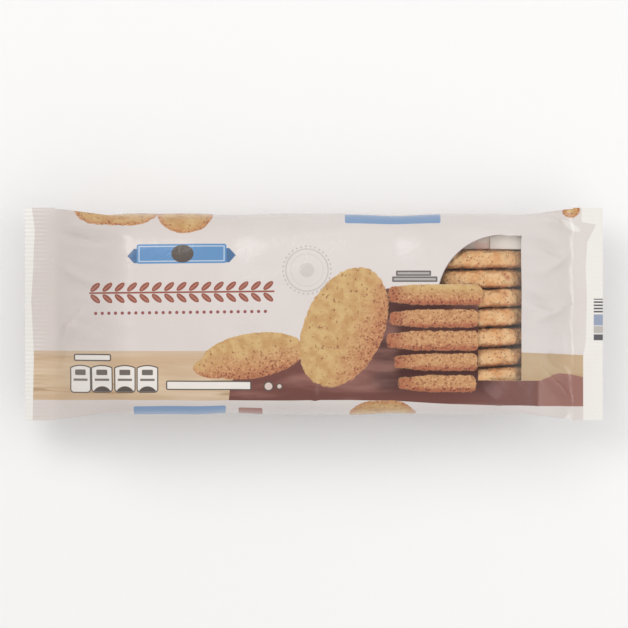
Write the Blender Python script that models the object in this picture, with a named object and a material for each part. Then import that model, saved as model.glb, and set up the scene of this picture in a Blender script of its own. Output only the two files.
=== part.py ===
"""A flow-wrapped pack of oatmeal cookies, lying on its back.

The wrapper is a printed film tube with a crimped fin at each end and a folded
seam down its back. A clear window in the printed front shows seven cookies
that stand on edge in the right-hand well of a plastic tray.

Frame: +X runs along the pack towards the window end, +Y is the top edge of the
printed front, +Z points up out of the front. The origin is at the middle of
the footprint, on the surface that the pack lies on. Lengths are in metres.
"""

import math

import bmesh
import bpy
import numpy as np
from mathutils import Matrix

MM = 0.001

# Film tube
BODY_HALF_WIDTH = 47.4 * MM
BACK_HALF_WIDTH = 46.6 * MM
SIDE_FOLD_Z = 32.2 * MM
PACK_HEIGHT = 64.4 * MM
FRONT_ROUNDING = 4.5
BACK_ROUNDING = 3.0
BACK_FLAT_HALF_WIDTH = 30.0 * MM

# Where the tray's wells press the film out and where it dips between them
WELL_PITCH = 75.0 * MM
DIP_HALF_LENGTH = 11.0 * MM
FRONT_DIP = 1.3 * MM
SIDE_DIP = 0.7 * MM

# Ends: the tube flattens from its shoulder to the fin, with its sides tucked in
SHOULDER_X = 84.0 * MM
FIN_ROOT_X = 123.0 * MM
END_CURVE = 1.5
FIN_HALF_WIDTH = 50.15 * MM
FIN_Z = 30.5 * MM
FIN_LAYER = 0.5 * MM
TUCK_LAYER = 0.36 * MM
PLEAT_DEPTH = 0.8 * MM
PLEAT_PITCH = 17.0 * MM
PLEAT_DRIFT = 4.0

# Crimped fins
PACK_HALF_LENGTH = 136.3 * MM
FIN_INNER_X = 121.4 * MM
FIN_HALF_THICKNESS = 0.8 * MM
CRIMP_RIBS = 52
CRIMP_DEPTH = 0.22 * MM

# Folded seam on the back, lying in a shallow channel
CHANNEL_HALF_WIDTH = 9.0 * MM
CHANNEL_SLOPE = 0.6 * MM
CHANNEL_DEPTH = 0.6 * MM
SEAM_LEFT_Y = -6.0 * MM
SEAM_RIGHT_Y = 6.5 * MM
SEAM_LIFT = 0.1 * MM

# Tray well under the window
WELL_X = WELL_PITCH
WELL_Z = 33.0 * MM
WELL_RADIUS = 30.4 * MM
TRAY_WALL = 0.7 * MM
TRAY_RIM_Z = 38.0 * MM
TRAY_RIM_HALF_WIDTH = 35.0 * MM
TRAY_FAR_Y = 41.6 * MM
TRAY_NEAR_Y = -37.8 * MM
TRAY_LUG_LEFT_X = 82.4 * MM
TRAY_LUG_RIGHT_X = 101.0 * MM
TRAY_LUG_Y = 31.4 * MM
TRAY_LUG_Z = 47.0 * MM
WELL_STRAIGHT_HALF_LENGTH = 34.0 * MM
WELL_END_LIFT = 3.9 * MM
WELL_SIDES = 28

# Cookies on edge: thickness runs along Y, the domed face looks towards +Y.
# The profile gives each ring's share of the radius and its height in mm.
COOKIE_RADIUS = 29.2 * MM
COOKIE_SIDES = 26
COOKIE_MIDDLES_Y_MM = (25.6, 16.3, 7.1, -1.9, -11.5, -21.1, -30.1)
COOKIE_TURNS_DEG = (0.5, 1.0, 2.4, 2.4, 3.3, 4.2, 4.4)
COOKIE_RADIUS_CHANGES_MM = (0.1, -0.3, 0.2, -0.1, 0.3, -0.2, 0.0)
COOKIE_PROFILE_MM = (
    (0.44, 4.25),
    (0.76, 3.8),
    (0.93, 2.5),
    (1.00, 0.2),
    (0.985, -2.3),
    (0.92, -3.6),
    (0.55, -3.95),
)
COOKIE_DOME_MM = 4.35
COOKIE_BACK_MM = -3.95
COOKIE_EDGE_RIPPLE = 0.01
COOKIE_FACE_RIPPLE = 0.22

# Gap left between pieces that touch in the real pack
REST_GAP = 0.35 * MM
CUT_MARGIN = 0.4 * MM

# Room for the row of cookies: (Y, half height) of its sections, lower at its ends
ROW_SPACE_RADIUS = 30.3 * MM
ROW_SPACE_SECTIONS_MM = (
    (-37.1, 26.8),
    (-35.5, 28.0),
    (-33.5, 29.3),
    (-30.5, 30.3),
    (27.5, 30.3),
    (31.0, 28.8),
)

# Window outline on the front. It is a round opening whose left side is taken
# by the printed row of cookies and whose right and lower sides are straight.
WINDOW_CENTRE = (88.4 * MM, 6.4 * MM)
WINDOW_RADIUS = 30.55 * MM
WINDOW_TOP_Y = 36.9 * MM
WINDOW_RIGHT_X = 97.3 * MM
WINDOW_BOTTOM_Y = -31.2 * MM
WINDOW_LEFT_TIP_Y = 13.9 * MM
WINDOW_LEFT_SIDE_MM = (
    (68.1, 13.4),
    (74.6, 11.2),
    (78.5, 8.3),
    (79.5, 5.0),
    (76.8, -8.0),
    (76.7, -31.2),
)
WINDOW_ARC_STEPS = 12
WINDOW_FLOOR_Z = 36.0 * MM


def clear_scene():
    """Remove every object that the file starts with."""
    for item in list(bpy.data.objects):
        bpy.data.objects.remove(item, do_unlink=True)


def make_material(name, colour, roughness):
    """A Principled material with one colour and roughness."""
    material = bpy.data.materials.new(name)
    material.use_nodes = True
    shader = material.node_tree.nodes["Principled BSDF"]
    shader.inputs["Base Color"].default_value = (*colour, 1.0)
    shader.inputs["Roughness"].default_value = roughness
    shader.inputs["Metallic"].default_value = 0.0
    return material


def make_object(name, bm, material=None):
    """Turn a bmesh into an object of the scene, with its faces pointing out."""
    bmesh.ops.recalc_face_normals(bm, faces=bm.faces)
    mesh = bpy.data.meshes.new(name)
    bm.to_mesh(mesh)
    bm.free()
    item = bpy.data.objects.new(name, mesh)
    bpy.context.scene.collection.objects.link(item)
    if material is not None:
        mesh.materials.append(material)
    return item


def add_boolean(target, tool, operation):
    """Join or cut the target with a tool that isn't a piece of the pack."""
    tool.hide_render = True
    tool.display_type = "WIRE"
    modifier = target.modifiers.new(tool.name, "BOOLEAN")
    modifier.operation = operation
    modifier.object = tool


def shade_smooth(item, angle_deg):
    """Shade an object's mesh smooth, with its sharp edges kept."""
    item.data.shade_smooth()
    item.data.set_sharp_from_angle(angle=math.radians(angle_deg))


def superellipse_quarter(half_width, flat, height, power):
    """Points of a quarter of the tube, from its panel's middle to its side.

    The panel is flat out to `flat`, then rounds off into the side.
    Returns the girth lengths and the points' distances from the middle.
    """
    angles = np.linspace(math.pi / 2, 0.0, 400)
    across = flat + (half_width - flat) * np.cos(angles) ** (2 / power)
    up = height * np.sin(angles) ** (2 / power)
    across = np.insert(across, 0, 0.0)
    up = np.insert(up, 0, height)
    girth = np.concatenate(([0.0], np.cumsum(np.hypot(np.diff(across), np.diff(up)))))
    return girth, across, up


FRONT_QUARTER = superellipse_quarter(
    BODY_HALF_WIDTH, 0.0, PACK_HEIGHT - SIDE_FOLD_Z, FRONT_ROUNDING
)
BACK_QUARTER = superellipse_quarter(
    BODY_HALF_WIDTH, BACK_FLAT_HALF_WIDTH, SIDE_FOLD_Z, BACK_ROUNDING
)
HALF_GIRTH = FRONT_QUARTER[0][-1]


def well_dip(x):
    """1 between two wells of the tray, 0 over a well."""
    places = (-WELL_PITCH / 2, WELL_PITCH / 2)
    return sum(math.exp(-(((x - place) / DIP_HALF_LENGTH) ** 2)) for place in places)


def tube_point(x, girth, front):
    """Y and Z of the full tube at a girth length from its panel's middle."""
    lengths, across, up = FRONT_QUARTER if front else BACK_QUARTER
    share = abs(girth) / HALF_GIRTH
    y = float(np.interp(share * lengths[-1], lengths, across))
    z = float(np.interp(share * lengths[-1], lengths, up))
    dip = well_dip(x)
    if front:
        z -= FRONT_DIP * dip * (1 - share**3) * (z / up[0])
    else:
        y -= (BODY_HALF_WIDTH - BACK_HALF_WIDTH) * (z / up[0])
    y -= SIDE_DIP * dip * (y / BODY_HALF_WIDTH) ** 6
    return math.copysign(y, girth), SIDE_FOLD_Z + (z if front else -z)


def flat_point(girth, front):
    """Y and Z of the flattened tube, its sides tucked in between its panels."""
    side = 1 if front else -1
    reach = abs(girth)
    if reach <= FIN_HALF_WIDTH:
        return math.copysign(reach, girth), FIN_Z + side * FIN_LAYER
    tucked = (reach - FIN_HALF_WIDTH) / (HALF_GIRTH - FIN_HALF_WIDTH)
    y = 2 * FIN_HALF_WIDTH - reach
    return math.copysign(y, girth), FIN_Z + side * TUCK_LAYER * (1 - tucked)


def flattening(x):
    """0 over the tray, rising to 1 at the root of a fin."""
    part = (abs(x) - SHOULDER_X) / (FIN_ROOT_X - SHOULDER_X)
    return min(max(part, 0.0), 1.0) ** END_CURVE


def film_point(x, girth, front, inset=0.0):
    """A point of the film, set in towards the contents by `inset`."""
    blend = flattening(x)
    tube_y, tube_z = tube_point(x, girth, front)
    flat_y, flat_z = flat_point(girth, front)
    inward = -1 if front else 1
    pleat = math.sin(2 * math.pi * girth / PLEAT_PITCH + PLEAT_DRIFT * x / WELL_PITCH)
    panel = max(0.0, 1 - (abs(girth) / FIN_HALF_WIDTH) ** 4)
    pleat *= PLEAT_DEPTH * 4 * blend * (1 - blend) * panel
    y = tube_y + (flat_y - tube_y) * blend
    z = tube_z + (flat_z - tube_z) * blend
    z += inward * (abs(pleat) + inset * (1 - blend))
    return x, y, z


def ring_stations():
    """Girth stations of one ring: (girth, on the front, inset), once around."""
    panel = [mm * MM for mm in (6, 12, 18, 24, 30, 35, 39, 42.5, 45.5, 48)]
    side = [FIN_HALF_WIDTH, 52.5 * MM, 55.5 * MM, 60 * MM, 65 * MM, 70 * MM]
    across = [0.0, *panel, *side]
    front = [(girth, True, 0.0) for girth in reversed(across)]
    front += [(-girth, True, 0.0) for girth in across[1:]]
    outer = [(girth, False, 0.0) for girth in across if girth > CHANNEL_HALF_WIDTH]
    edge = CHANNEL_HALF_WIDTH
    inner = CHANNEL_HALF_WIDTH - CHANNEL_SLOPE
    right = [
        (SEAM_RIGHT_Y, False, SEAM_LIFT),
        (SEAM_RIGHT_Y, False, CHANNEL_DEPTH),
        (inner, False, CHANNEL_DEPTH),
        (edge, False, 0.0),
    ]
    left = [
        (-edge, False, 0.0),
        (-inner, False, CHANNEL_DEPTH),
        (SEAM_LEFT_Y, False, CHANNEL_DEPTH),
        (SEAM_LEFT_Y, False, SEAM_LIFT),
    ]
    side_left = (-HALF_GIRTH, True, 0.0)
    side_right = (HALF_GIRTH, True, 0.0)
    outer_left = [(-girth, False, 0.0) for girth, _, _ in reversed(outer)]
    return [side_right, *front, side_left, *outer_left, *left, *right, *outer]


def ring_places():
    """X of each ring, closer together where the film turns."""
    half = [0, 12, 24, 31, 37.5, 44, 51, 62, 74, 84, 91, 94, 97, 100, 103.5]
    half += [107, 110.5, 114, 117.5, 120.5, 123]
    right = [mm * MM for mm in half]
    return [-x for x in reversed(right[1:])] + right


def build_film_tube(material):
    """The closed film tube, with tucked ends and the seam on its back."""
    bm = bmesh.new()
    stations = ring_stations()
    rings = []
    for x in ring_places():
        ring = [bm.verts.new(film_point(x, *station)) for station in stations]
        rings.append(ring)
    count = len(stations)
    for ring, following in zip(rings, rings[1:]):
        for index in range(count):
            after = (index + 1) % count
            bm.faces.new((ring[index], ring[after], following[after], following[index]))
    bm.faces.new(rings[0])
    bm.faces.new(rings[-1])
    bmesh.ops.triangulate(bm, faces=bm.faces)
    return make_object("wrapper", bm, material)


def build_fin(name, side):
    """A fin's plate, with crimp ribs that run along the pack."""
    bm = bmesh.new()
    columns = 2 * CRIMP_RIBS
    inner_x = side * FIN_INNER_X
    outer_x = side * PACK_HALF_LENGTH
    corners = []
    for column in range(columns + 1):
        y = FIN_HALF_WIDTH * (2 * column / columns - 1)
        ripple = CRIMP_DEPTH * (1 if column % 2 else -1)
        low = FIN_Z - FIN_HALF_THICKNESS + ripple
        high = FIN_Z + FIN_HALF_THICKNESS + ripple
        corners.append(
            [
                bm.verts.new((inner_x, y, low)),
                bm.verts.new((outer_x, y, low)),
                bm.verts.new((outer_x, y, high)),
                bm.verts.new((inner_x, y, high)),
            ]
        )
    for here, there in zip(corners, corners[1:]):
        for index in range(4):
            after = (index + 1) % 4
            bm.faces.new((here[index], here[after], there[after], there[index]))
    bm.faces.new(corners[0])
    bm.faces.new(corners[-1])
    bmesh.ops.triangulate(bm, faces=bm.faces)
    return make_object(name, bm)


def build_loft(name, sections, material=None):
    """A closed solid through sections that have the same number of points."""
    bm = bmesh.new()
    rings = [[bm.verts.new(point) for point in section] for section in sections]
    count = len(rings[0])
    for ring, following in zip(rings, rings[1:]):
        for index in range(count):
            after = (index + 1) % count
            bm.faces.new((ring[index], ring[after], following[after], following[index]))
    bm.faces.new(rings[0])
    bm.faces.new(rings[-1])
    return make_object(name, bm, material)


def trough_section(y, margin, top_z, flange=False):
    """The well across X and Z at one Y, grown by a margin, with its flange."""
    past = max(0.0, abs(y) - WELL_STRAIGHT_HALF_LENGTH)
    lift = WELL_END_LIFT * (past / (TRAY_FAR_Y - WELL_STRAIGHT_HALF_LENGTH)) ** 2
    half_width = WELL_RADIUS + margin
    depth = half_width - lift
    points = []
    for step in range(WELL_SIDES + 1):
        angle = math.pi * (1 + step / WELL_SIDES)
        x = WELL_X + half_width * math.cos(angle)
        points.append((x, y, WELL_Z + depth * math.sin(angle)))
    if flange:
        outer = TRAY_RIM_HALF_WIDTH + margin - TRAY_WALL
        under_z = TRAY_RIM_Z - margin
        points.append((WELL_X + half_width, y, under_z))
        points.append((WELL_X + outer, y, under_z))
        points.append((WELL_X + outer, y, top_z))
        points.append((WELL_X - outer, y, top_z))
        points.append((WELL_X - outer, y, under_z))
        points.append((WELL_X - half_width, y, under_z))
    else:
        points.append((WELL_X + half_width, y, top_z))
        points.append((WELL_X - half_width, y, top_z))
    return points


def well_stations(inset):
    """Y of the well's sections, closer together where its ends curve up."""
    near = TRAY_NEAR_Y + inset
    far = TRAY_FAR_Y - inset
    straight = WELL_STRAIGHT_HALF_LENGTH
    steps = [straight + (far - straight) * share for share in (0.35, 0.7, 1.0)]
    return [near, (near - straight) / 2, -straight, straight, *steps]


def build_box(name, low, high):
    """A box between two corners."""
    bm = bmesh.new()
    size = [b - a for a, b in zip(low, high)]
    middle = [(a + b) / 2 for a, b in zip(low, high)]
    place = Matrix.Translation(middle) @ Matrix.Diagonal((*size, 1.0))
    bmesh.ops.create_cube(bm, size=1.0, matrix=place)
    return make_object(name, bm)


def build_tray(material):
    """The tray's right-hand well: trough, flange, end walls and end lug."""
    outer = [
        trough_section(y, TRAY_WALL, TRAY_RIM_Z, flange=True) for y in well_stations(0.0)
    ]
    inner = [
        trough_section(y, 0.0, TRAY_RIM_Z + TRAY_WALL) for y in well_stations(TRAY_WALL)
    ]
    lug_low = (TRAY_LUG_LEFT_X, TRAY_LUG_Y, WELL_Z)
    lug_high = (TRAY_LUG_RIGHT_X, TRAY_FAR_Y, TRAY_LUG_Z)
    tray = build_loft("tray", outer, material)
    add_boolean(tray, build_loft("tray_inside", inner), "DIFFERENCE")
    add_boolean(tray, build_box("tray_lug", lug_low, lug_high), "UNION")
    shade_smooth(tray, 30)
    return tray


def cookie_ripple(number, angle, ring):
    """Uneven edge and faces of one cookie, between -1 and 1."""
    phase = 1.7 * number
    slow = math.sin(2 * angle + phase) * 0.5
    quick = math.sin(5 * angle + 2.1 * phase + ring) * 0.3
    fine = math.sin(9 * angle - phase + 2 * ring) * 0.2
    return slow + quick + fine


def build_cookie(number, middle_y, turn_deg, radius, material):
    """One round cookie, turned about the vertical and resting in the well."""
    bm = bmesh.new()
    dome = bm.verts.new((0.0, COOKIE_DOME_MM * MM, 0.0))
    back = bm.verts.new((0.0, COOKIE_BACK_MM * MM, 0.0))
    rings = []
    for ring_number, (share, height) in enumerate(COOKIE_PROFILE_MM):
        ring = []
        for side in range(COOKIE_SIDES):
            angle = 2 * math.pi * side / COOKIE_SIDES
            ripple = cookie_ripple(number, angle, ring_number)
            reach = radius * share * (1 + COOKIE_EDGE_RIPPLE * ripple)
            y = (height + COOKIE_FACE_RIPPLE * ripple) * MM
            place = (reach * math.cos(angle), y, reach * math.sin(angle))
            ring.append(bm.verts.new(place))
        rings.append(ring)
    for side in range(COOKIE_SIDES):
        after = (side + 1) % COOKIE_SIDES
        bm.faces.new((dome, rings[0][side], rings[0][after]))
        bm.faces.new((back, rings[-1][after], rings[-1][side]))
        for ring, lower in zip(rings, rings[1:]):
            bm.faces.new((ring[side], lower[side], lower[after], ring[after]))
    lowest = min(vert.co.z for vert in bm.verts)
    bmesh.ops.triangulate(bm, faces=bm.faces)
    cookie = make_object(f"cookie_{number}", bm, material)
    floor_z = WELL_Z - WELL_RADIUS + REST_GAP
    cookie.location = (WELL_X, middle_y, floor_z - lowest)
    cookie.rotation_euler = (0.0, 0.0, math.radians(turn_deg))
    shade_smooth(cookie, 40)
    return cookie


def window_outline():
    """Corners of the window, round its edge, in X and Y."""
    centre_x, centre_y = WINDOW_CENTRE
    top_angle = math.asin((WINDOW_TOP_Y - centre_y) / WINDOW_RADIUS)
    tip_angle = math.pi - math.asin((WINDOW_LEFT_TIP_Y - centre_y) / WINDOW_RADIUS)
    points = [(WINDOW_RIGHT_X, WINDOW_BOTTOM_Y), (WINDOW_RIGHT_X, WINDOW_TOP_Y)]
    for step in range(WINDOW_ARC_STEPS + 1):
        angle = top_angle + (tip_angle - top_angle) * step / WINDOW_ARC_STEPS
        x = centre_x + WINDOW_RADIUS * math.cos(angle)
        points.append((x, centre_y + WINDOW_RADIUS * math.sin(angle)))
    points += [(x_mm * MM, y_mm * MM) for x_mm, y_mm in WINDOW_LEFT_SIDE_MM]
    return points


def tray_space_sections():
    """Sections of the room that the tray's well takes up in the wrapper."""
    margin = TRAY_WALL + CUT_MARGIN
    stations = well_stations(-CUT_MARGIN)
    return [trough_section(y, margin, TRAY_RIM_Z + CUT_MARGIN, flange=True) for y in stations]


def row_space_sections():
    """Sections of the room that the row of cookies takes up in the wrapper."""
    sections = []
    for y_mm, half_height_mm in ROW_SPACE_SECTIONS_MM:
        section = []
        for step in range(2 * WELL_SIDES):
            angle = math.pi * step / WELL_SIDES
            x = WELL_X + ROW_SPACE_RADIUS * math.cos(angle)
            z = WELL_Z + half_height_mm * MM * math.sin(angle)
            section.append((x, y_mm * MM, z))
        sections.append(section)
    return sections


def window_space_sections():
    """Two sections of the prism under the window's outline."""
    top_z = PACK_HEIGHT + 5 * MM
    return [[(x, y, z) for x, y in window_outline()] for z in (WINDOW_FLOOR_Z, top_z)]


def cut_pocket(wrapper):
    """Open the wrapper at its window, down to the tray and round the cookies."""
    lug_space = build_box(
        "lug_space",
        (TRAY_LUG_LEFT_X - CUT_MARGIN, TRAY_LUG_Y - 2 * CUT_MARGIN, WELL_Z),
        (TRAY_LUG_RIGHT_X + CUT_MARGIN, TRAY_FAR_Y + CUT_MARGIN, TRAY_LUG_Z + CUT_MARGIN),
    )
    spaces = [
        build_loft("tray_space", tray_space_sections()),
        build_loft("row_space", row_space_sections()),
        build_loft("window_space", window_space_sections()),
        lug_space,
    ]
    for space in spaces:
        add_boolean(wrapper, space, "DIFFERENCE")


def build_wrapper(material):
    """The film tube with both fins, open at its window."""
    wrapper = build_film_tube(material)
    for name, side in (("fin_left", -1), ("fin_right", 1)):
        add_boolean(wrapper, build_fin(name, side), "UNION")
    cut_pocket(wrapper)
    shade_smooth(wrapper, 35)
    return wrapper


def main():
    """Build the whole pack."""
    clear_scene()
    film = make_material("printed_film", (0.67, 0.64, 0.62), 0.32)
    plastic = make_material("tray_plastic", (0.80, 0.76, 0.67), 0.4)
    baked = make_material("baked_oats", (0.60, 0.38, 0.18), 0.85)
    build_wrapper(film)
    build_tray(plastic)
    cookies = zip(COOKIE_MIDDLES_Y_MM, COOKIE_TURNS_DEG, COOKIE_RADIUS_CHANGES_MM)
    for number, (middle_mm, turn_deg, change_mm) in enumerate(cookies, start=1):
        radius = COOKIE_RADIUS + change_mm * MM
        build_cookie(number, middle_mm * MM, turn_deg, radius, baked)


main()
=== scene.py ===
"""Looks of a flow-wrapped pack of oatmeal cookies, lying on its back.

The printed film, the clear pane over its window, the folded seam on the back,
the crimped fins, the tray's well and the seven cookies on edge are modelled
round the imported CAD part. Lengths are in millimetres up to the point where a
mesh is put in place, which is in metres.
"""

import logging
import math
from collections.abc import Callable, Iterator
from contextlib import contextmanager
from dataclasses import dataclass, field
from enum import Enum

import bmesh
import bpy
import numpy as np
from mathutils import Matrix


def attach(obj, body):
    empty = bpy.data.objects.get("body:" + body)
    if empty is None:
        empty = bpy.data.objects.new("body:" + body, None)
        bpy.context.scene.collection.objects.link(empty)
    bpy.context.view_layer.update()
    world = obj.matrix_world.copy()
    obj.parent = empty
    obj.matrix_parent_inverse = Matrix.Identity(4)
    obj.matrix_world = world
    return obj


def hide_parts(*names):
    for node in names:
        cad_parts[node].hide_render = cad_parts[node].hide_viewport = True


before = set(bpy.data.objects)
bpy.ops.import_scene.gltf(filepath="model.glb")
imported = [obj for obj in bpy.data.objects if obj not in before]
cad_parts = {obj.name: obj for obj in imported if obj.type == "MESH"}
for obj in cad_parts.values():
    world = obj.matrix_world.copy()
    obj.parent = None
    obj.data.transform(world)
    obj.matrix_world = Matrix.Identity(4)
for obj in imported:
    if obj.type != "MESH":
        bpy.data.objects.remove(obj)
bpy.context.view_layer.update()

LOG = logging.getLogger("pack")
MM = 0.001
PRINT_MAP = "print"
BROWNING = "browning"
SMOOTH_ANGLE = math.radians(40)

Pair = tuple[float, float]
Place = tuple[float, float, float]
Colour = tuple[float, float, float, float]


class End(Enum):
    """The pack's two ends, as the sign of their place along X."""

    LEFT = -1
    RIGHT = 1


def paint(red: float, green: float, blue: float) -> Colour:
    """A colour given in 8-bit screen values.

    Args:
        red: Red, 0 to 255.
        green: Green, 0 to 255.
        blue: Blue, 0 to 255.

    Returns:
        The colour in linear light, with full alpha.
    """
    linear = []
    for value in (red, green, blue):
        share = value / 255
        low = share / 12.92
        high = ((share + 0.055) / 1.055) ** 2.4
        linear.append(low if share <= 0.04045 else high)
    return (*linear, 1.0)


class Signal:
    """A number or colour that varies over a surface: one socket of a node tree."""

    def __init__(self, tree: bpy.types.NodeTree, socket: bpy.types.NodeSocket) -> None:
        """Keep the tree and the socket that gives the value."""
        self.tree = tree
        self.socket = socket

    def compute(self, operation: str, *others: "Signal | float") -> "Signal":
        """Feed this value, and others, to a Math node.

        Args:
            operation: The Math node's operation.
            others: The node's other inputs.

        Returns:
            The node's result.
        """
        node = self.tree.nodes.new("ShaderNodeMath")
        node.operation = operation
        for socket, value in zip(node.inputs, (self, *others)):
            plug(self.tree, value, socket)
        return Signal(self.tree, node.outputs[0])

    def __add__(self, other: "Signal | float") -> "Signal":
        """The sum."""
        return self.compute("ADD", other)

    def __sub__(self, other: "Signal | float") -> "Signal":
        """The difference."""
        return self.compute("SUBTRACT", other)

    def __mul__(self, other: "Signal | float") -> "Signal":
        """The product."""
        return self.compute("MULTIPLY", other)

    def __abs__(self) -> "Signal":
        """The value without its sign."""
        return self.compute("ABSOLUTE")

    def least(self, other: "Signal | float") -> "Signal":
        """The smaller of two values."""
        return self.compute("MINIMUM", other)

    def most(self, other: "Signal | float") -> "Signal":
        """The larger of two values."""
        return self.compute("MAXIMUM", other)

    def ramp(self, low: float, high: float) -> "Signal":
        """Go smoothly from 0 to 1 between two values of this signal.

        Args:
            low: The value that gives 0.
            high: The value that gives 1. It may be below `low`.

        Returns:
            The ramp, between 0 and 1.
        """
        node = self.tree.nodes.new("ShaderNodeMapRange")
        node.interpolation_type = "SMOOTHSTEP"
        plug(self.tree, self, node.inputs["Value"])
        node.inputs["From Min"].default_value = low
        node.inputs["From Max"].default_value = high
        if low > high:
            node.inputs["From Min"].default_value = high
            node.inputs["From Max"].default_value = low
            node.inputs["To Min"].default_value = 1.0
            node.inputs["To Max"].default_value = 0.0
        return Signal(self.tree, node.outputs["Result"])


def plug(tree: bpy.types.NodeTree, value: object, socket: bpy.types.NodeSocket) -> None:
    """Link a signal to a socket, or set a plain value on it.

    Args:
        tree: The node tree that holds the socket.
        value: A signal, a number or a colour.
        socket: The input to feed.
    """
    if isinstance(value, Signal):
        tree.links.new(value.socket, socket)
    else:
        socket.default_value = value


class Canvas:
    """A node tree on which colours are laid over each other, with u and v in mm."""

    def __init__(self, tree: bpy.types.NodeTree, u: Signal, v: Signal) -> None:
        """Start bare.

        Args:
            tree: The node tree to add to.
            u: Place along the pack.
            v: Place round the pack, from the middle of the front.
        """
        self.tree = tree
        self.u = u
        self.v = v
        self.colour: Signal | Colour = paint(255, 255, 255)

    def mix(self, mask: Signal | float, under: object, over: object) -> Signal:
        """Mix two colours.

        Args:
            mask: 0 for the colour under, 1 for the colour over.
            under: The colour where the mask is 0.
            over: The colour where the mask is 1.

        Returns:
            The mixed colour.
        """
        node = self.tree.nodes.new("ShaderNodeMix")
        node.data_type = "RGBA"
        plug(self.tree, mask, node.inputs[0])
        plug(self.tree, under, node.inputs[6])
        plug(self.tree, over, node.inputs[7])
        return Signal(self.tree, node.outputs[2])

    def blend(self, mask: Signal, under: Signal | float, over: Signal | float) -> Signal:
        """Mix two numbers.

        Args:
            mask: 0 for the number under, 1 for the number over.
            under: The number where the mask is 0.
            over: The number where the mask is 1.

        Returns:
            The mixed number.
        """
        node = self.tree.nodes.new("ShaderNodeMix")
        node.data_type = "FLOAT"
        plug(self.tree, mask, node.inputs[0])
        plug(self.tree, under, node.inputs[2])
        plug(self.tree, over, node.inputs[3])
        return Signal(self.tree, node.outputs[0])

    def lay(self, mask: Signal | float, colour: object) -> None:
        """Lay a colour over what is there, where the mask is 1."""
        self.colour = self.mix(mask, self.colour, colour)

    def place(self, stretch: Pair, seed: float) -> Signal:
        """The place as a vector, for a texture.

        Args:
            stretch: Factors on u and v. A small one draws the texture out.
            seed: A third coordinate, for a different pattern.

        Returns:
            The vector.
        """
        node = self.tree.nodes.new("ShaderNodeCombineXYZ")
        plug(self.tree, self.u * stretch[0], node.inputs[0])
        plug(self.tree, self.v * stretch[1], node.inputs[1])
        node.inputs[2].default_value = seed
        return Signal(self.tree, node.outputs[0])

    def noise(self, size: float, stretch: Pair = (1.0, 1.0), seed: float = 0.0) -> Signal:
        """Cloudy noise between 0 and 1.

        Args:
            size: Size of its blotches, in mm.
            stretch: Factors on u and v.
            seed: A number for a different pattern.

        Returns:
            The noise.
        """
        node = self.tree.nodes.new("ShaderNodeTexNoise")
        plug(self.tree, self.place(stretch, seed), node.inputs["Vector"])
        node.inputs["Scale"].default_value = 1 / size
        node.inputs["Detail"].default_value = 3.0
        return Signal(self.tree, node.outputs["Fac"])

    def box(self, centre: Pair, half: Pair, corner: float = 0.0) -> Signal:
        """Distance to a box with round corners, below 0 inside.

        Args:
            centre: The box's middle.
            half: Half its width and half its height.
            corner: Radius of its corners.

        Returns:
            The distance in mm.
        """
        across = abs(self.u - centre[0]) - (half[0] - corner)
        up = abs(self.v - centre[1]) - (half[1] - corner)
        if corner == 0.0:
            return across.most(up)
        outside = across.most(0.0)
        above = up.most(0.0)
        reach = (outside * outside + above * above).compute("SQRT")
        return reach + across.most(up).least(0.0) - corner

    def circle(self, centre: Pair) -> Signal:
        """Distance from a point, in mm."""
        across, up = self.u - centre[0], self.v - centre[1]
        return (across * across + up * up).compute("SQRT")

    def oval(self, centre: Pair, half: Pair, turn_deg: float) -> tuple[Signal, Signal]:
        """A turned ellipse.

        Args:
            centre: Its middle.
            half: Half its length and half its height, before it is turned.
            turn_deg: Its turn, anticlockwise.

        Returns:
            The distance from its middle as a share of its radius, and the height
            in it, from -1 at its lower side to 1 at its upper one.
        """
        cosine = math.cos(math.radians(turn_deg))
        sine = math.sin(math.radians(turn_deg))
        across = self.u - centre[0]
        up = self.v - centre[1]
        along = (across * cosine + up * sine) * (1 / half[0])
        height = (up * cosine - across * sine) * (1 / half[1])
        return (along * along + height * height).compute("SQRT"), height

    def inside(self, distance: Signal, soft: float = 0.16) -> Signal:
        """1 where a distance is below 0, with a soft edge."""
        return distance.ramp(soft, -soft)

    def repeat(self, place: Signal, pitch: float) -> Signal:
        """The place within a row of cells of one pitch, the first of them round 0."""
        return place.compute("WRAP", pitch / 2, -pitch / 2)

    def fill(self, distance: Signal, colour: Colour, share: float = 1.0) -> None:
        """Lay a colour inside an outline.

        Args:
            distance: Distance to the outline, below 0 inside.
            colour: The colour to lay.
            share: How much of it covers what is there.
        """
        mask = self.inside(distance)
        self.lay(mask if share == 1.0 else mask * share, colour)

    def frame(self, distance: Signal, rim: Colour, face: Colour, width: float) -> None:
        """Fill an outline with a rim's colour, and all within the rim with another."""
        self.fill(distance, rim)
        self.fill(distance + width, face)

    def curve(self, value: Signal, points: tuple[Pair, ...]) -> Signal:
        """Read a line through points off a curve.

        Args:
            value: Where to read the line.
            points: The line's points, (value, height), in rising order.

        Returns:
            The line's height.
        """
        low, high = points[0][0], points[-1][0]
        heights = [height for _, height in points]
        floor, span = min(heights), max(heights) - min(heights)
        node = self.tree.nodes.new("ShaderNodeFloatCurve")
        line = node.mapping.curves[0]
        for index, (place, height) in enumerate(points):
            spot = ((place - low) / (high - low), (height - floor) / span)
            if index in (0, len(points) - 1):
                line.points[0 if index == 0 else -1].location = spot
            else:
                line.points.new(*spot)
        for point in line.points:
            point.handle_type = "VECTOR"
        node.mapping.update()
        plug(self.tree, (value - low) * (1 / (high - low)), node.inputs["Value"])
        return Signal(self.tree, node.outputs[0]) * span + floor


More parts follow.
